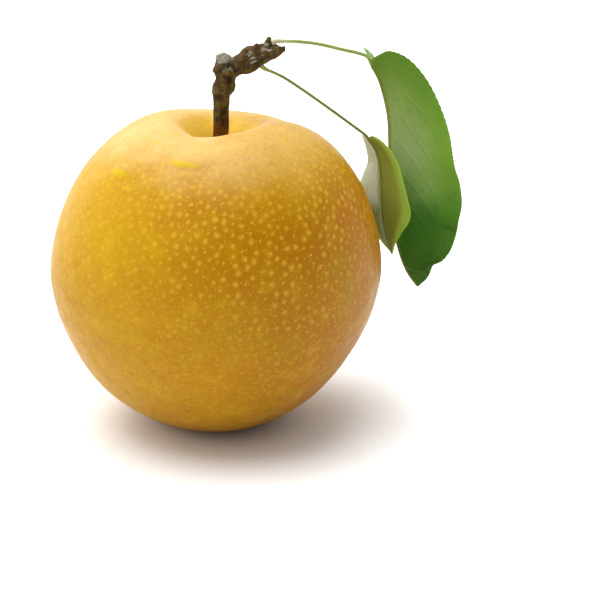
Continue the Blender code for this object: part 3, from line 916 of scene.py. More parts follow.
def skin_crown(f, settings, colour, mottle):
    """Pale straw and bloom over the shoulders with a ragged lower edge, partly painted highlight of the light
    from above, and a stem cavity with painted light on its upper walls and painted shade deeper in.
    """
    rise = f.plus(f.axis("Z"), f.swing(f.grain(*CROWN_GRAIN), CROWN_RAGGEDNESS))
    # Straw over the upper shoulders: partly paler skin, partly painted highlight of the light from above
    shoulder = f.times(f.ease(rise, *SHOULDER_RISE), f.along(*SHOULDER_RIGHT))
    colour = f.blend(shoulder, colour, settings.straw)
    cavity = f.attribute("cavity")
    # Pale bloom and painted highlight over the crown, fading into the stem cavity
    crown = f.times(f.ease(rise, *CROWN_RISE), f.ease(mottle, *CROWN_PATCHES), f.along(*CROWN_FADE))
    colour = f.blend(f.times(crown, f.ease(cavity, *CROWN_HIGHLIGHT_IN_CAVITY)), colour, settings.bloom_and_highlight)
    # Painted light: bright yellow on the upper walls of the stem cavity
    colour = f.blend(f.ease(cavity, *CAVITY_PAINTED_LIGHT), colour, settings.painted_cavity_light)
    # Painted shade: darker gold deep in the stem cavity
    return f.blend(f.ease(cavity, *CAVITY_PAINTED_SHADE), colour, settings.gold)


def skin_dots(f, settings, colour, fine, behind):
    """Lenticels with soft ragged edges, fainter on the left and low down."""
    dot = f.ease(f.plus(f.attribute("lenticel"), f.swing(fine, DOT_RAGGEDNESS)), *DOT_EDGE)
    strength = f.math("MAXIMUM", f.along(*DOTS_RIGHT), behind)
    patches = f.ease(f.grain(*BROAD_GRAIN), *DOT_PATCHES)
    share = f.times(dot, DOT_SHARE, f.along(*DOTS_RISE), strength, patches)
    return f.blend(share, colour, settings.lenticel), dot


def skin_finish(settings):
    """Golden russet skin: mottled, with pale bloom and painted highlight over the crown and round the stem
    cavity, painted light and shade on its sides and in the cavity, and soft paler lenticels.
    """
    f = Finish("russet_skin")
    mottle = f.grain(*MOTTLE_GRAIN)
    fine = f.grain(*FINE_GRAIN)
    behind = f.along(*BEHIND)
    colour = skin_ground(f, settings, mottle, behind)
    colour = skin_crown(f, settings, colour, mottle)
    colour = f.blend(f.ease(fine, *RUSSET_GRAINS), colour, settings.russet)
    speck = f.ease(f.plus(f.cells(SPECK_SPACING), f.times(fine, SPECK_RAGGEDNESS)), *SPECKS)
    colour = f.blend(f.times(speck, SPECK_SHARE), colour, settings.lenticel)
    colour, dot = skin_dots(f, settings, colour, fine, behind)
    blister = f.attribute("blister")
    colour = f.blend(f.ease(blister, *BLISTER_TOP), colour, settings.blister)
    # Painted highlight on the upper side of each blister
    colour = f.blend(f.ease(blister, *BLISTER_PAINTED_HIGHLIGHT), colour, settings.bloom_and_highlight)
    colour = f.blend(f.times(f.attribute("scar"), SCAR_SHARE), colour, settings.scar)

    low, high = (settings.roughness + change for change in GLOSS_RANGE)
    roughness = f.ease(f.grain(*GLOSS_GRAIN), *MIDDLE, low, high)
    roughness = f.plus(roughness, f.times(dot, DOT_ROUGHNESS))
    fine_share, pore_share, depth, strength = SKIN_BUMP
    relief = f.plus(f.times(fine, fine_share), f.times(f.grain(*PORE_GRAIN), pore_share))
    f.set(base_color=colour, roughness=roughness, normal=f.bump(relief, depth, strength), **SKIN_SHADER)
    return f


# Stalk


def make_stalk(settings):
    """Smooth stalk with fine lengthwise ribs, swelling a little to its joint."""
    foot = RIM_HEIGHT - CAVITY_DEPTH - SOCKET_DEPTH + FOOT_GAP
    starts = fruit_warp(np.zeros(2), np.zeros(2), np.array([foot, foot + SOCKET_DEPTH]))
    route = Route([Vector(point) for point in starts] + [from_foot(*point) for point in STALK_ROUTE])

    def radius_at(share, angle):
        top = smooth((share - 1) / STALK_TOP_SHARE + 1)
        ribs = folds(STALK_RIBS, angle, share) * settings.rib_depth
        return mix(STALK_RADIUS, STALK_TOP_RADIUS, top) + ribs + folds(STALK_SWELLINGS, angle, share)

    rings = tube_rings(route, radius_at, STALK_SIDES, STALK_RINGS)
    streaks = grain(rings * np.array(STREAK_STRETCH), STALK_STREAKS[0], 3.0)
    bumps = np.maximum(grain(rings, STALK_BUMPS[0], 8.0) - 0.2, 0.0)
    flakes = grain(rings, STALK_FLAKES[0], 5.0)
    bark = smooth((rings[..., 2] - STALK_BARK_START) / STALK_BARK_RISE)
    relief = STALK_STREAKS[1] * streaks * (0.5 + bark)
    relief += (STALK_BUMPS[1] * bumps + STALK_FLAKES[1] * flakes) * bark
    rings = rings + ring_normals(rings) * relief[..., None]
    along = np.repeat(np.linspace(0, 1, STALK_RINGS + 1), STALK_SIDES)
    values = {"along": np.append(along, [0, 1]), "relief": np.append(relief / STALK_RELIEF, [0, 0])}
    faces = tube_faces(STALK_RINGS + 1, STALK_SIDES)
    return add_piece("stalk_wood", tube_points(rings), faces, stalk_finish(settings), "stalk", values)


def stalk_finish(settings):
    """Smooth and red-brown below, and the spur's own bark above."""
    f = Finish("stalk_brown")
    streaks = f.grain(*STREAK_GRAIN, f.stretched(STREAK_SCALE))
    dry = f.ease(f.plus(f.attribute("along"), f.swing(f.grain(*DRY_GRAIN), DRY_RAGGEDNESS)), *DRY_TOP)
    colour = f.blend(f.ease(streaks, *STREAK_LIGHT), settings.red_brown, settings.highlight)
    colour = f.blend(f.ease(streaks, *STREAK_DARK), colour, settings.shade)
    colour = f.blend(dry, colour, bark_colour(f, bpy.context.scene.nashi_spur))
    roughness = f.ease(dry, 0.0, 1.0, STALK_ROUGHNESS, BARK_ROUGHNESS)
    normal = f.bump(f.plus(streaks, f.grain(*BARK_GRAIN)), *STALK_BUMP)
    f.set(base_color=colour, roughness=roughness, normal=normal, specular_ior_level=STALK_SPECULAR)
    return f


# Spur


def limb_route(points):
    return Route([from_foot(*point) for point in points])


def limb_rings(route_points, radii, seed):
    """Rings of a knotty round branch along a route."""
    route = limb_route(route_points)
    steps = len(radii) - 1

    def radius_at(share, angle):
        place = min(share * steps, steps - 1e-6)
        i = int(place)
        plain = mix(radii[i], radii[i + 1], float(smooth(place - i))) * MM
        knots = sum(np.sin(count * angle + twist * share + shift * seed)
                    for count, twist, shift in WOOD_SWELLINGS)
        return plain * (1 + WOOD_ROUGHNESS * knots * float(smooth(share * steps)))

    return tube_rings(route, radius_at, WOOD_SIDES, round(route.length / WOOD_RING_SPACING))


def nub_rings(foot, tip, radius):
    """Rings of a small blunt cone for a bud or the stub of a twig."""
    start = from_foot(*foot)
    end = from_foot(*tip)

    def radius_at(share, angle):
        return np.full(len(angle), radius * MM * math.sqrt(NUB_BLUNTNESS - share ** 2))

    return tube_rings(Route([start, (start + end) / 2, end]), radius_at, WOOD_SIDES, NUB_RINGS)


def joined_limbs():
    """One closed mesh round the trunk, the arm and the nubs."""
    limbs = [limb_rings(TRUNK_ROUTE, TRUNK_RADII, 1.0), limb_rings(ARM_ROUTE, ARM_RADII, 2.6)]
    limbs += [nub_rings(*nub) for nub in NUBS]
    points, faces = [], []
    for rings in limbs:
        faces += tube_faces(len(rings), WOOD_SIDES, sum(len(block) for block in points))
        points.append(tube_points(rings))
    mesh = bpy.data.meshes.new("limbs")
    mesh.from_pydata(np.concatenate(points).tolist(), [], faces)
    limb = bpy.data.objects.new("limbs", mesh)
    bpy.context.scene.collection.objects.link(limb)
    remesh = limb.modifiers.new("join", "REMESH")
    remesh.mode = "VOXEL"
    remesh.voxel_size = WOOD_VOXEL
    joined = bpy.data.meshes.new_from_object(limb.evaluated_get(bpy.context.evaluated_depsgraph_get()))
    bpy.data.objects.remove(limb)
    bpy.data.meshes.remove(mesh)
    return joined


def branch_places(points):
    """For each point, the distance along the nearest limb and the point in that limb's own axes."""
    best = np.full(len(points), np.inf)
    along = np.zeros(len(points))
    local = np.zeros((len(points), 3))
    for number, route_points in enumerate((TRUNK_ROUTE, ARM_ROUTE)):
        route = limb_route(route_points)
        for mark in np.linspace(0, route.length, LIMB_MARKS):
            middle, direction = route.at(mark)
            offset = points - np.array(middle)
            away = np.linalg.norm(offset, axis=1)
            closer = away < best
            best[closer] = away[closer]
            side = front_of(direction)
            axes = (side, direction.cross(side), direction)
            across, over, ahead = (offset[closer] @ np.array(axis) for axis in axes)
            along[closer] = mark + ahead
            drawn_out = (mark + ahead) * BARK_STRETCH + number * LIMB_SHIFT
            local[closer] = np.column_stack([across, over, drawn_out])
    return along, local


def make_spur(settings):
    """Fissured bark with ring scars over the trunk, the arm and the nubs."""
    mesh = joined_limbs()
    points = np.empty(len(mesh.vertices) * 3)
    normals = np.empty(len(mesh.vertices) * 3)
    mesh.vertices.foreach_get("co", points)
    mesh.vertex_normals.foreach_get("vector", normals)
    points = points.reshape(-1, 3)
    relief = bark_relief(points)
    points = points + normals.reshape(-1, 3) * (relief * settings.bark_depth)[:, None]
    mesh.vertices.foreach_set("co", points.ravel())
    store_values(mesh, {"relief": relief})
    mesh.update()
    return finish_piece("spur_wood", mesh, bark_finish(settings), "spur")


def bark_relief(points):
    """Height of the bark at each point: ridges, flakes, fine grain, lumps and the sunk rings of old scars."""
    along, local = branch_places(points)
    relief = RIDGE_HEIGHT * (1 - 2 * np.abs(grain(local, *BARK_RIDGES)))
    for size, shift, height in BARK_GRAINS:
        relief += height * grain(points, size, shift)
    wander = grain(points, *RING_GRAIN) * RING_WANDER
    phase = (along + wander) / SCAR_RING_SPACING
    to_ring = np.abs(phase - np.round(phase)) * SCAR_RING_SPACING
    broken = smooth(grain(points, *RING_BREAKS) * 2 + RING_WHOLENESS)
    relief -= RING_DEPTH * np.exp(-(to_ring / SCAR_RING_WIDTH) ** 2) * broken
    # The bark begins gently at the joint with the stalk
    return relief * smooth((points[:, 2] - SPUR_FOOT) / JOINT_LENGTH)


def bark_colour(f, settings):
    """Dark brown bark with olive patches, worn ridges and grey lichen on its upper faces."""
    relief = f.attribute("relief")
    fine = f.grain(*BARK_GRAIN)
    colour = f.blend(f.ease(relief, *BARK_TOP), settings.crevice, settings.bark)
    colour = f.blend(f.ease(f.grain(*OLIVE_BARK_GRAIN), *OLIVE_BARK), colour, settings.olive)
    dark = f.grain(*DARK_BARK_GRAIN, f.stretched(BARK_STRETCHED))
    colour = f.blend(f.ease(dark, *DARK_BARK), colour, settings.crevice)
    ridge = f.times(f.ease(relief, *WORN_RIDGES), f.ease(fine, *FINE_RIDGES), WORN_SHARE)
    colour = f.blend(ridge, colour, settings.ridge)
    up = f.toward(f.node("ShaderNodeTexCoord", "Normal"), LICHEN_FACING)
    lichen = f.times(f.ease(f.grain(*LICHEN_GRAIN), *LICHEN_PATCHES), f.ease(up, *LICHEN_UPWARD))
    top = f.times(f.along(*BROKEN_TOP), f.along(*BROKEN_LEFT))
    grey = f.math("MAXIMUM", f.times(lichen, f.along(*LICHEN_RISE)), top)
    return f.blend(f.times(grey, f.ease(fine, *LICHEN_GRAINS)), colour, settings.lichen)


def bark_finish(settings):
    """Rough dry bark."""
    f = Finish("spur_bark")
    f.set(base_color=bark_colour(f, settings), roughness=BARK_ROUGHNESS,
          normal=f.bump(f.grain(*BARK_GRAIN), *BARK_BUMP), specular_ior_level=BARK_SPECULAR)
    return f


# Leaves


def blade_share(leaf, along):
    """Half width of a blade as a share of its widest, for a share of its length."""
    turn = math.log(0.5) / math.log(leaf["widest"])
    fullness = mix(leaf["base_fullness"], leaf["tip_fullness"], along)
    return max(math.sin(math.pi * min(along, 1.0) ** turn), 0.0) ** fullness


def half_blade(reaches, width, fold, curl):
    """Across and up offsets of one half's columns, folded up at the midrib and curled outwards."""
    steps = np.diff(reaches, prepend=0.0)
    middle = reaches - steps / 2
    crease = 1 - CREASE_ROUNDING * np.exp(-middle / RIB_WIDTH)
    angle = fold * crease + curl * middle / width
    return np.cumsum(steps * np.cos(angle)), np.cumsum(steps * np.sin(angle))


def leaf_rows(leaf, petiole_length, blade_length):
    """Distances of a leaf's rows from its foot, each with its tooth's share of height."""
    petiole_rows = round(petiole_length / PETIOLE_ROW_SPACING)
    rows = [(petiole_length * i / petiole_rows, 0.0) for i in range(petiole_rows)]
    for tooth in range(leaf["teeth"]):
        for step in range(ROWS_PER_TOOTH):
            share = step / ROWS_PER_TOOTH
            rise = share / TOOTH_LEAN if share < TOOTH_LEAN else (1 - share) / (1 - TOOTH_LEAN)
            ahead = blade_length * (tooth + share) / leaf["teeth"]
            rows.append((petiole_length + ahead, rise ** TOOTH_CURVE))
    rows.append((petiole_length + blade_length, 0.0))
    return rows


def veins_at(leaf, ahead, reach, width, side, settings, length):
    """How much of a side vein lies at a place of the blade, from 0 to 1."""
    spacing = length / settings.vein_pairs
    bend = leaf["vein_lean"] * reach + VEIN_BEND * reach ** 2 / leaf["half_width"]
    phase = (ahead - bend) / spacing + (0.0 if side > 0 else 0.5)
    amount, pace = VEIN_UNEVENNESS
    phase = phase + amount * np.sin(pace * np.round(phase))
    away = np.abs(phase - np.round(phase)) * spacing * VEIN_STEEPNESS
    share = reach / width
    spread = VEIN_SPREAD * (VEIN_THINNING[0] - VEIN_THINNING[1] * share)
    inside = smooth((1 - share) / VEIN_MARGIN) * smooth(width / (VEIN_END_WIDTH * leaf["half_width"]))
    return np.exp(-(away / spread) ** 2) * inside


def leaf_half(leaf, settings, side, reaches, slant, width, share, length, axes):
    """Points and veins of one half of a row, from the midrib outwards."""
    middle, near, above, along = axes
    name = "near" if side > 0 else "far"
    fold = mix(*leaf[name + "_fold"], float(smooth(share / FOLD_LENGTH)))
    across, up = half_blade(reaches, width, fold, leaf[name + "_curl"])
    ripple = leaf["wave"] * (reaches / leaf["half_width"]) ** 2
    ripple = ripple * math.sin(math.tau * leaf["waves"] * share + side) * (1 - share ** 3)
    points = middle + np.outer(side * across, near) + np.outer(up + ripple, above)
    points = points + np.outer(slant * reaches, along)
    ahead = share * length + slant * reaches
    return points, veins_at(leaf, ahead, reaches, width, side, settings, length)


def leaf_sheet(leaf, settings):
    """Middle surface, frames and surface values of a leaf, row by row from its foot to its tip."""
    petiole = [from_foot(*point) for point in leaf["petiole"]]
    petiole.insert(0, petiole[0] + Vector(leaf["foot_back"]) * MM)
    midrib = [from_foot(*point) for point in leaf["midrib"]]
    route = Route(petiole + midrib)
    petiole_length = Route(petiole + midrib[:1]).length
    blade_length = route.length - petiole_length
    columns = np.linspace(0, 1, leaf["columns"] + 1)[1:]
    sheet, frames = [], []
    values = {"vein": [], "rib": []}
    for distance, tooth in leaf_rows(leaf, petiole_length, blade_length):
        middle, along = route.at(distance)
        near = front_of(along)
        axes = [np.array(vector) for vector in (middle, near, near.cross(along), along)]
        share = max((distance - petiole_length) / blade_length, 0.0)
        width = max(leaf["half_width"] * blade_share(leaf, share), TIP_HALF_WIDTH)
        tall = leaf["tooth_depth"] * tooth * float(smooth(width / (leaf["half_width"] * TOOTH_FADE)))
        reaches = width * columns + tall * smooth((columns - TOOTH_ROOT) / (1 - TOOTH_ROOT))
        slant = mix(BASE_SLANT, ROW_SLANT, float(smooth(share / SLANT_LENGTH))) * (1 - share ** 2)
        halves = [leaf_half(leaf, settings, side, reaches, slant, width, share, blade_length, axes)
                  for side in (1, -1)]
        (near_half, near_veins), (far_half, far_veins) = halves
        sheet.append(np.concatenate([far_half[::-1], axes[0][None], near_half]))
        frames.append((axes, distance, share))
        rib = min(RIB_WIDTH, RIB_WIDEST_SHARE * width)
        ribs = np.exp(-(reaches / (rib * RIB_SPREAD)) ** 2)
        values["vein"].append(np.concatenate([far_veins[::-1], [0], near_veins]))
        values["rib"].append(np.concatenate([ribs[::-1], [1], ribs]))
    values = {key: np.array(rows) for key, rows in values.items()}
    values["margin"] = np.tile(np.concatenate([columns[::-1], [0], columns]), (len(sheet), 1))
    values["far"] = np.tile(np.repeat([1.0, 0.0], [len(columns), len(columns) + 1]), (len(sheet), 1))
    return np.array(sheet), frames, values


def blade_faces(leaf, settings, sheet, shares, values):
    """Upper and lower faces of a blade round its middle surface, and how far each point is blade."""
    vein, rib, margin = values["vein"], values["rib"], values["margin"]
    normals = unit(np.cross(np.gradient(sheet, axis=1), np.gradient(sheet, axis=0)))
    blade = smooth(shares / BLADE_START)[:, None] * np.ones(sheet.shape[1])
    quilt = sum(grain(sheet, size, shift) * height for size, shift, height in QUILT_GRAINS)
    quilt = quilt + QUILT_RISE * (1 - vein) * smooth(margin / QUILT_EDGE) * smooth((1 - margin) / QUILT_EDGE)
    quilt = quilt * leaf["relief"] * blade * smooth(margin / QUILT_CREASE)
    middle = sheet + normals * quilt[..., None]
    thick = settings.blade_thickness * (1 - MARGIN_THINNING * margin ** 2) / 2
    taper = (1 - RIB_TAPER * shares)[:, None]
    raised = settings.vein_height * leaf["relief"] * vein
    over = middle + normals * (thick - VEIN_GROOVE * raised - RIB_GROOVE * rib * taper)[..., None]
    under = middle - normals * (thick + raised + RIB_HEIGHT * rib * taper)[..., None]
    return over, under, blade


def make_leaf(name, leaf, node, finish, settings):
    """Petiole and blade in one closed mesh: a round stem that spreads into a veined, toothed blade."""
    sheet, frames, values = leaf_sheet(leaf, settings)
    rows, count = sheet.shape[:2]
    distances = np.array([distance for _, distance, _ in frames])
    shares = np.array([share for _, _, share in frames])
    over, under, blade = blade_faces(leaf, settings, sheet, shares, values)
    turn = math.pi * (np.arange(count) + 0.5) / count
    depth, spread = PETIOLE_GROOVE
    groove = 1 - depth * np.exp(-((turn - math.pi / 2) / spread) ** 2)
    uppers, lowers = [], []
    for i, ((middle, near, above, _), distance, _) in enumerate(frames):
        flare = 1 - float(smooth(distance / FOOT_FLARE_LENGTH))
        radius = mix(leaf["petiole_radius"], leaf["foot_radius"] * FOOT_FLARE, flare)
        outward = middle + np.outer(-np.cos(turn) * radius, near)
        upward = np.outer(np.sin(turn) * radius * groove, above)
        downward = np.outer(np.sin(turn) * radius, above)
        uppers.append(mix(outward + upward, over[i], blade[i][:, None]))
        lowers.append(mix(outward - downward, under[i], blade[i][:, None]))
    points = np.concatenate([np.array(side).reshape(-1, 3) for side in (uppers, lowers)])
    values["blade"] = blade
    values["length_share"] = np.repeat(shares, count)
    values["stem_share"] = np.repeat(distances, count) / STEM_LENGTH
    both = {key: np.tile(np.ravel(numbers), 2) for key, numbers in values.items()}
    both["under"] = np.repeat([0.0, 1.0], rows * count)
    faces = leaf_faces(rows, count)
    return add_piece(name, points, faces, finish(settings), node, both, SHARP_EDGE)


def leaf_faces(rows, columns):
    """Faces that close a leaf between its upper and lower points."""
    lower = rows * columns
    faces = []
    for i in range(rows - 1):
        for k in range(columns - 1):
            a, b = i * columns + k, i * columns + k + 1
            c, d = b + columns, a + columns
            faces.append((a, b, c, d))
            faces.append((lower + d, lower + c, lower + b, lower + a))
        for k in (0, columns - 1):
            a, d = i * columns + k, (i + 1) * columns + k
            edge = (a, d, lower + d, lower + a)
            faces.append(edge if k == 0 else edge[::-1])
    for i in (0, rows - 1):
        for k in range(columns - 1):
            a, b = i * columns + k, i * columns + k + 1
            edge = (lower + a, lower + b, b, a)
            faces.append(edge if i == 0 else edge[::-1])
    return faces


def leaf_finish(name, colours):
    """Leaf with a painted sheen by the midrib, painted sheen on its far half, a faint net of veins, a warm
    midrib and a cream foot.
    """
    f = Finish(name)
    keys = ("vein", "rib", "margin", "length_share", "far", "under", "blade", "stem_share")
    vein, rib, margin, along, far, under, blade, stem = (f.attribute(key) for key in keys)
    broad = f.grain(*LEAF_BROAD)
    small = f.grain(*LEAF_SMALL)
    uneven = f.swing(broad, LEAF_RAGGEDNESS)
    net = f.ease(f.cells(NET_SPACING, "DISTANCE_TO_EDGE"), *NET_EDGE)

    light = f.times(f.ease(broad, *LIGHT_PATCHES), f.ease(f.plus(along, uneven), *LIGHT_END))
    colour = f.blend(light, colours["deep"], colours["light"])
    colour = f.blend(f.ease(along, *BASE_END), colour, colours["base"])
    soft = f.times(uneven, ZONE_RAGGEDNESS)
    ahead = f.plus(along, soft)
    # Painted sheen: paler colour by the midrib, standing for the reflection of the light
    zone = f.times(f.ease(f.plus(margin, soft), *PAINTED_SHEEN_ACROSS), f.ease(ahead, *PAINTED_SHEEN_START),
                   f.ease(ahead, *PAINTED_SHEEN_END), f.ease(far, *PAINTED_SHEEN_FAR))
    colour = f.blend(zone, colour, colours["painted_sheen"])
    colour = f.blend(f.ease(small, *DEEP_SPOTS), colour, colours["deep"])
    colour = f.blend(f.ease(margin, *BAND_ACROSS, 0.0, colours["band_share"]), colour, colours["band"])
    # Painted sheen: pale colour on the far half near the foot, for its reflection at a grazing slant
    end = colours["far_sheen_end"]
    pale = f.times(f.ease(along, end + FAR_FADE, end - FAR_FADE, 0.0, colours["far_sheen_share"]),
                   f.ease(margin, *FAR_ACROSS), f.ease(under, *FAR_UNDER), far)
    colour = f.blend(pale, colour, colours["far"])
    colour = f.blend(f.times(net, NET_SHARE), colour, colours["vein"])
    colour = f.blend(f.times(vein, colours["vein_share"]), colour, colours["vein"])
    colour = f.blend(f.times(under, UNDER_SHARE), colour, colours["under"])
    colour = f.blend(f.ease(rib, *RIB_ACROSS), colour, colours["rib"])
    stem_colour = f.blend(f.ease(stem, *STEM_FOOT), colours["foot"], colours["petiole"])
    colour = f.blend(blade, stem_colour, colour)

    low, high = (colours["roughness"] + change for change in LEAF_GLOSS_RANGE)
    normal = f.bump(f.cells(PORE_SPACING), *PORE_BUMP)
    normal = f.bump(f.times(net, blade), *NET_BUMP, normal)
    f.set(base_color=colour, roughness=f.ease(small, *MIDDLE, low, high), normal=normal, **LEAF_SHADER)
    return f


def large_leaf_finish(settings):
    return leaf_finish("large_leaf_green", {
        "deep": settings.large_deep,
        "light": settings.large_light,
        "painted_sheen": settings.large_painted_sheen,
        **LARGE_LEAF_COLOURS,
    })


def small_leaf_finish(settings):
    return leaf_finish("small_leaf_olive", {
        "deep": settings.small_deep,
        "light": settings.small_light,
        **SMALL_LEAF_COLOURS,
    })


# Stage


def make_floor(settings):
    """Plain pale floor, wide enough to fill every view."""
    half = settings.floor_size / 2
    mesh = bpy.data.meshes.new("floor")
    corners = [(-half, -half, 0.0), (half, -half, 0.0), (half, half, 0.0), (-half, half, 0.0)]
    mesh.from_pydata(corners, [], [(0, 1, 2, 3)])
    f = Finish("pale_floor")
    f.set(base_color=settings.floor_colour, roughness=FLOOR_ROUGHNESS, specular_ior_level=FLOOR_SPECULAR)
    mesh.materials.append(f.material)
    floor = bpy.data.objects.new("floor", mesh)
    bpy.context.scene.collection.objects.link(floor)


def make_sky(settings):
    """Soft white surroundings, brightest above and to the left, dim behind the camera."""
    world = bpy.data.worlds.new("studio")
    world.use_nodes = True
    n = Nodes(world.node_tree)
    outward = n.node("ShaderNodeTexCoord", "Generated")
    total = settings.ambient
    strengths = (settings.left_light, settings.back_light, settings.top_light)
    for (direction, start, end), strength in zip(SKY_LIGHTS, strengths):
        total = n.plus(n.ease(n.toward(outward, direction), start, end, 0.0, strength), total)
    background = n.tree.nodes["Background"]
    background.inputs["Color"].default_value = (1.0, 1.0, 1.0, 1.0)
    n.feed(background.inputs["Strength"], total)
    bpy.context.scene.world = world


def make_key_light(settings):
    """Broad soft light from almost straight above, a little to the left."""
    lamp = bpy.data.lights.new("key", "SUN")
    lamp.energy = settings.key_strength
    lamp.angle = settings.key_angle
    key = bpy.data.objects.new("key", lamp)
    key.rotation_euler = Vector(KEY_DIRECTION).to_track_quat("Z", "Y").to_euler()
    bpy.context.scene.collection.objects.link(key)


def make_camera():
    """Camera of the photograph."""
    data = bpy.data.cameras.new("camera")
    data.lens = CAMERA_LENS
    data.sensor_width = SENSOR_WIDTH
    data.clip_start = NEAREST_SEEN
    camera = bpy.data.objects.new("camera", data)
    target = Vector(CAMERA_TARGET)
    back = Vector((0.0, -math.cos(CAMERA_ELEVATION), math.sin(CAMERA_ELEVATION)))
    camera.location = target + back * CAMERA_DISTANCE
    camera.rotation_euler = back.to_track_quat("Z", "Y").to_euler()
    bpy.context.scene.collection.objects.link(camera)
    bpy.context.scene.camera = camera


def colour_property(name, description, colour):
    return FloatVectorProperty(name=name, description=description, default=(*colour, 1.0), subtype="COLOR",
                               size=4, min=0.0, max=1.0)


def number_property(name, description, default, **settings):
    return FloatProperty(name=name, description=description, default=default, **{"min": 0.0, **settings})


def length_property(name, description, length):
    return number_property(name, description, length, unit="LENGTH", precision=5)


class FruitSettings(bpy.types.PropertyGroup):
    """Sizes and colours of the skin."""

    unevenness: number_property("Unevenness", "How far the skin swells and dips", 1.0, subtype="FACTOR")
    lenticel_spacing: length_property("Lenticel spacing", "Distance between the pale dots", 2.0 * MM)
    lenticel_radius: length_property("Lenticel radius", "Radius of a usual dot", 0.6 * MM)
    lenticel_height: length_property("Lenticel height", "How proud the dots stand", 0.035 * MM)
    roughness: number_property("Roughness", "Roughness of the skin", 0.42, min=0.1, max=0.9, subtype="FACTOR")
    gold: colour_property("Gold", "Main colour of the skin", (0.455, 0.235, 0.0005))
    # Amber also carries the painted shade towards the right of the skin
    amber: colour_property("Amber", "Warmer colour on the right and in the mottling", (0.35, 0.130, 0.0003))
    straw: colour_property("Straw", "Paler colour in the mottling", (0.58, 0.35, 0.004))
    olive: colour_property("Olive", "Greenish patches on the shaded side", (0.33, 0.20, 0.0005))
    orange: colour_property("Orange", "Warm flush on the right edge", (0.50, 0.165, 0.0003))
    # Pale bloom and painted highlight over the crown, also the painted highlight above the blisters
    bloom_and_highlight: colour_property("Bloom", "Pale bloom round the stem cavity", (0.65, 0.43, 0.15))
    # Painted light on the upper walls of the stem cavity
    painted_cavity_light: colour_property("Hollow", "Bright yellow of the stem cavity", (0.86, 0.57, 0.07))
    russet: colour_property("Russet", "Brown of the fine russet grain", (0.27, 0.10, 0.0005))
    lenticel: colour_property("Lenticel", "Colour of the pale dots", (0.68, 0.385, 0.03))
    blister: colour_property("Blister", "Colour of the smooth blisters", (0.62, 0.40, 0.001))
    scar: colour_property("Scar", "Colour of the calyx scar", (0.09, 0.045, 0.015))


class StalkSettings(bpy.types.PropertyGroup):
    """Sizes and colours of the stalk."""

    rib_depth: length_property("Rib depth", "Depth of the lengthwise ribs", 0.07 * MM)
    red_brown: colour_property("Red brown", "Colour of the lower stalk", (0.12, 0.030, 0.001))
    highlight: colour_property("Highlight", "Colour of the paler streaks", (0.23, 0.075, 0.002))
    shade: colour_property("Shade", "Colour of the darkest streaks", (0.018, 0.003, 0.001))


class SpurSettings(bpy.types.PropertyGroup):
    """Sizes and colours of the spur."""

    bark_depth: length_property("Bark depth", "Height that one unit of bark relief stands for", 1.0 * MM)
    bark: colour_property("Bark", "Main colour of the bark", (0.075, 0.040, 0.010))
    crevice: colour_property("Crevice", "Colour of the fissures", (0.012, 0.006, 0.002))
    ridge: colour_property("Ridge", "Colour of the worn ridges", (0.17, 0.115, 0.05))
    olive: colour_property("Olive", "Colour of the algae on the bark", (0.115, 0.090, 0.010))
    lichen: colour_property("Lichen", "Colour of the lichen", (0.32, 0.29, 0.24))


class LeafSettings(bpy.types.PropertyGroup):
    """Sizes and colours of the leaves."""

    blade_thickness: length_property("Blade thickness", "Thickness of the blades by the midrib", 0.42 * MM)
    vein_height: length_property("Vein height", "How proud the side veins stand below", 0.14 * MM)
    vein_pairs: IntProperty(name="Vein pairs", description="Side veins on each half of a blade",
                            default=9, min=3)
    large_deep: colour_property("Large deep", "Deep green of the large leaf", (0.005, 0.125, 0.0002))
    large_light: colour_property("Large light", "Light green of the large leaf", (0.20, 0.38, 0.03))
    # Painted sheen by the midrib of the large leaf
    large_painted_sheen: colour_property("Large satin", "Pale zone of the large leaf", (0.56, 0.62, 0.29))
    small_deep: colour_property("Small deep", "Deep olive of the small leaf", (0.18, 0.225, 0.003))
    small_light: colour_property("Small light", "Light olive of the small leaf", (0.29, 0.37, 0.018))


class StageSettings(bpy.types.PropertyGroup):
    """Floor and light."""

    floor_size: length_property("Floor size", "Side of the square floor", 8.0)
    floor_colour: colour_property("Floor colour", "Colour of the floor", (0.93, 0.93, 0.93))
    key_strength: number_property("Key strength", "Strength of the broad light", 2.65)
    key_angle: number_property("Key angle", "How wide the broad light looks from the floor",
                               math.radians(55), subtype="ANGLE")
    ambient: number_property("Ambient", "Even part of the surroundings", 0.14)
    left_light: number_property("Left light", "Extra brightness on the left", 0.76)
    back_light: number_property("Back light", "Extra brightness behind", 0.8)
    top_light: number_property("Top light", "Extra brightness above", 0.5)


class NASHI_OT_stage(bpy.types.Operator):
    """Make the floor, the light and the camera"""

    bl_idname = "nashi.stage"
    bl_label = "Stage"

    def execute(self, context):
        settings = context.scene.nashi_stage
        make_floor(settings)
        make_sky(settings)
        make_key_light(settings)
        make_camera()
        context.scene.view_settings.view_transform = "Standard"
        return {"FINISHED"}


class NASHI_OT_fruit(bpy.types.Operator):
    """Make the fruit's russet skin"""

    bl_idname = "nashi.fruit"
    bl_label = "Fruit"

    def execute(self, context):
        make_fruit(context.scene.nashi_fruit)
        return {"FINISHED"}


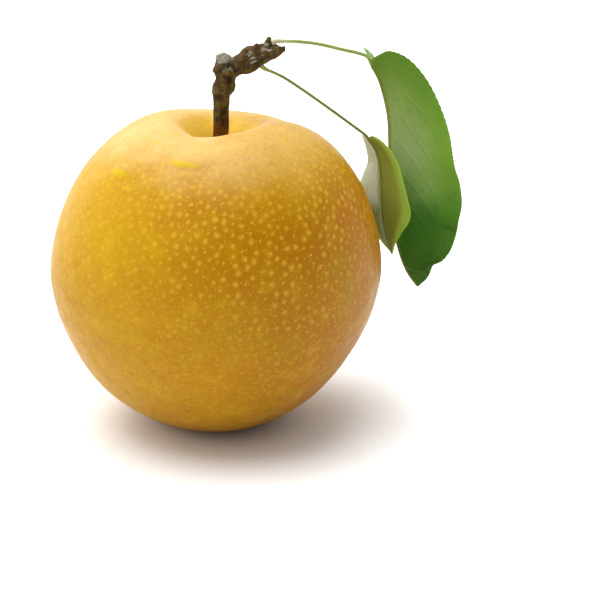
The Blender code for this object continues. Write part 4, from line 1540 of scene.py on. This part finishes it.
class NASHI_OT_stalk(bpy.types.Operator):
    """Make the stalk"""

    bl_idname = "nashi.stalk"
    bl_label = "Stalk"

    def execute(self, context):
        make_stalk(context.scene.nashi_stalk)
        return {"FINISHED"}


class NASHI_OT_spur(bpy.types.Operator):
    """Make the woody spur"""

    bl_idname = "nashi.spur"
    bl_label = "Spur"

    def execute(self, context):
        make_spur(context.scene.nashi_spur)
        return {"FINISHED"}


class NASHI_OT_leaves(bpy.types.Operator):
    """Make the two leaves"""

    bl_idname = "nashi.leaves"
    bl_label = "Leaves"

    def execute(self, context):
        settings = context.scene.nashi_leaves
        make_leaf("large_leaf_blade", LARGE_LEAF, "large_leaf", large_leaf_finish, settings)
        make_leaf("small_leaf_blade", SMALL_LEAF, "small_leaf", small_leaf_finish, settings)
        return {"FINISHED"}


STEPS = [
    (NASHI_OT_stage, "nashi_stage", StageSettings),
    (NASHI_OT_fruit, "nashi_fruit", FruitSettings),
    (NASHI_OT_stalk, "nashi_stalk", StalkSettings),
    (NASHI_OT_spur, "nashi_spur", SpurSettings),
    (NASHI_OT_leaves, "nashi_leaves", LeafSettings),
]


class NASHI_PT_panel(bpy.types.Panel):
    """Lists the pieces with their sizes and colours"""

    bl_idname = "NASHI_PT_panel"
    bl_label = "Nashi pear"
    bl_space_type = "VIEW_3D"
    bl_region_type = "UI"
    bl_category = "Nashi pear"

    def draw(self, context):
        for operator, pointer, group in STEPS:
            box = self.layout.box()
            box.operator(operator.bl_idname)
            for key in group.__annotations__:
                box.prop(getattr(context.scene, pointer), key)


def register():
    for operator, pointer, group in STEPS:
        bpy.utils.register_class(group)
        bpy.utils.register_class(operator)
        setattr(bpy.types.Scene, pointer, PointerProperty(type=group))
    bpy.utils.register_class(NASHI_PT_panel)


def unregister():
    bpy.utils.unregister_class(NASHI_PT_panel)
    for operator, pointer, group in reversed(STEPS):
        delattr(bpy.types.Scene, pointer)
        bpy.utils.unregister_class(operator)
        bpy.utils.unregister_class(group)


def main():
    register()
    bpy.ops.nashi.stage()
    bpy.ops.nashi.fruit()
    bpy.ops.nashi.stalk()
    bpy.ops.nashi.spur()
    bpy.ops.nashi.leaves()


if __name__ == "__main__":
    main()
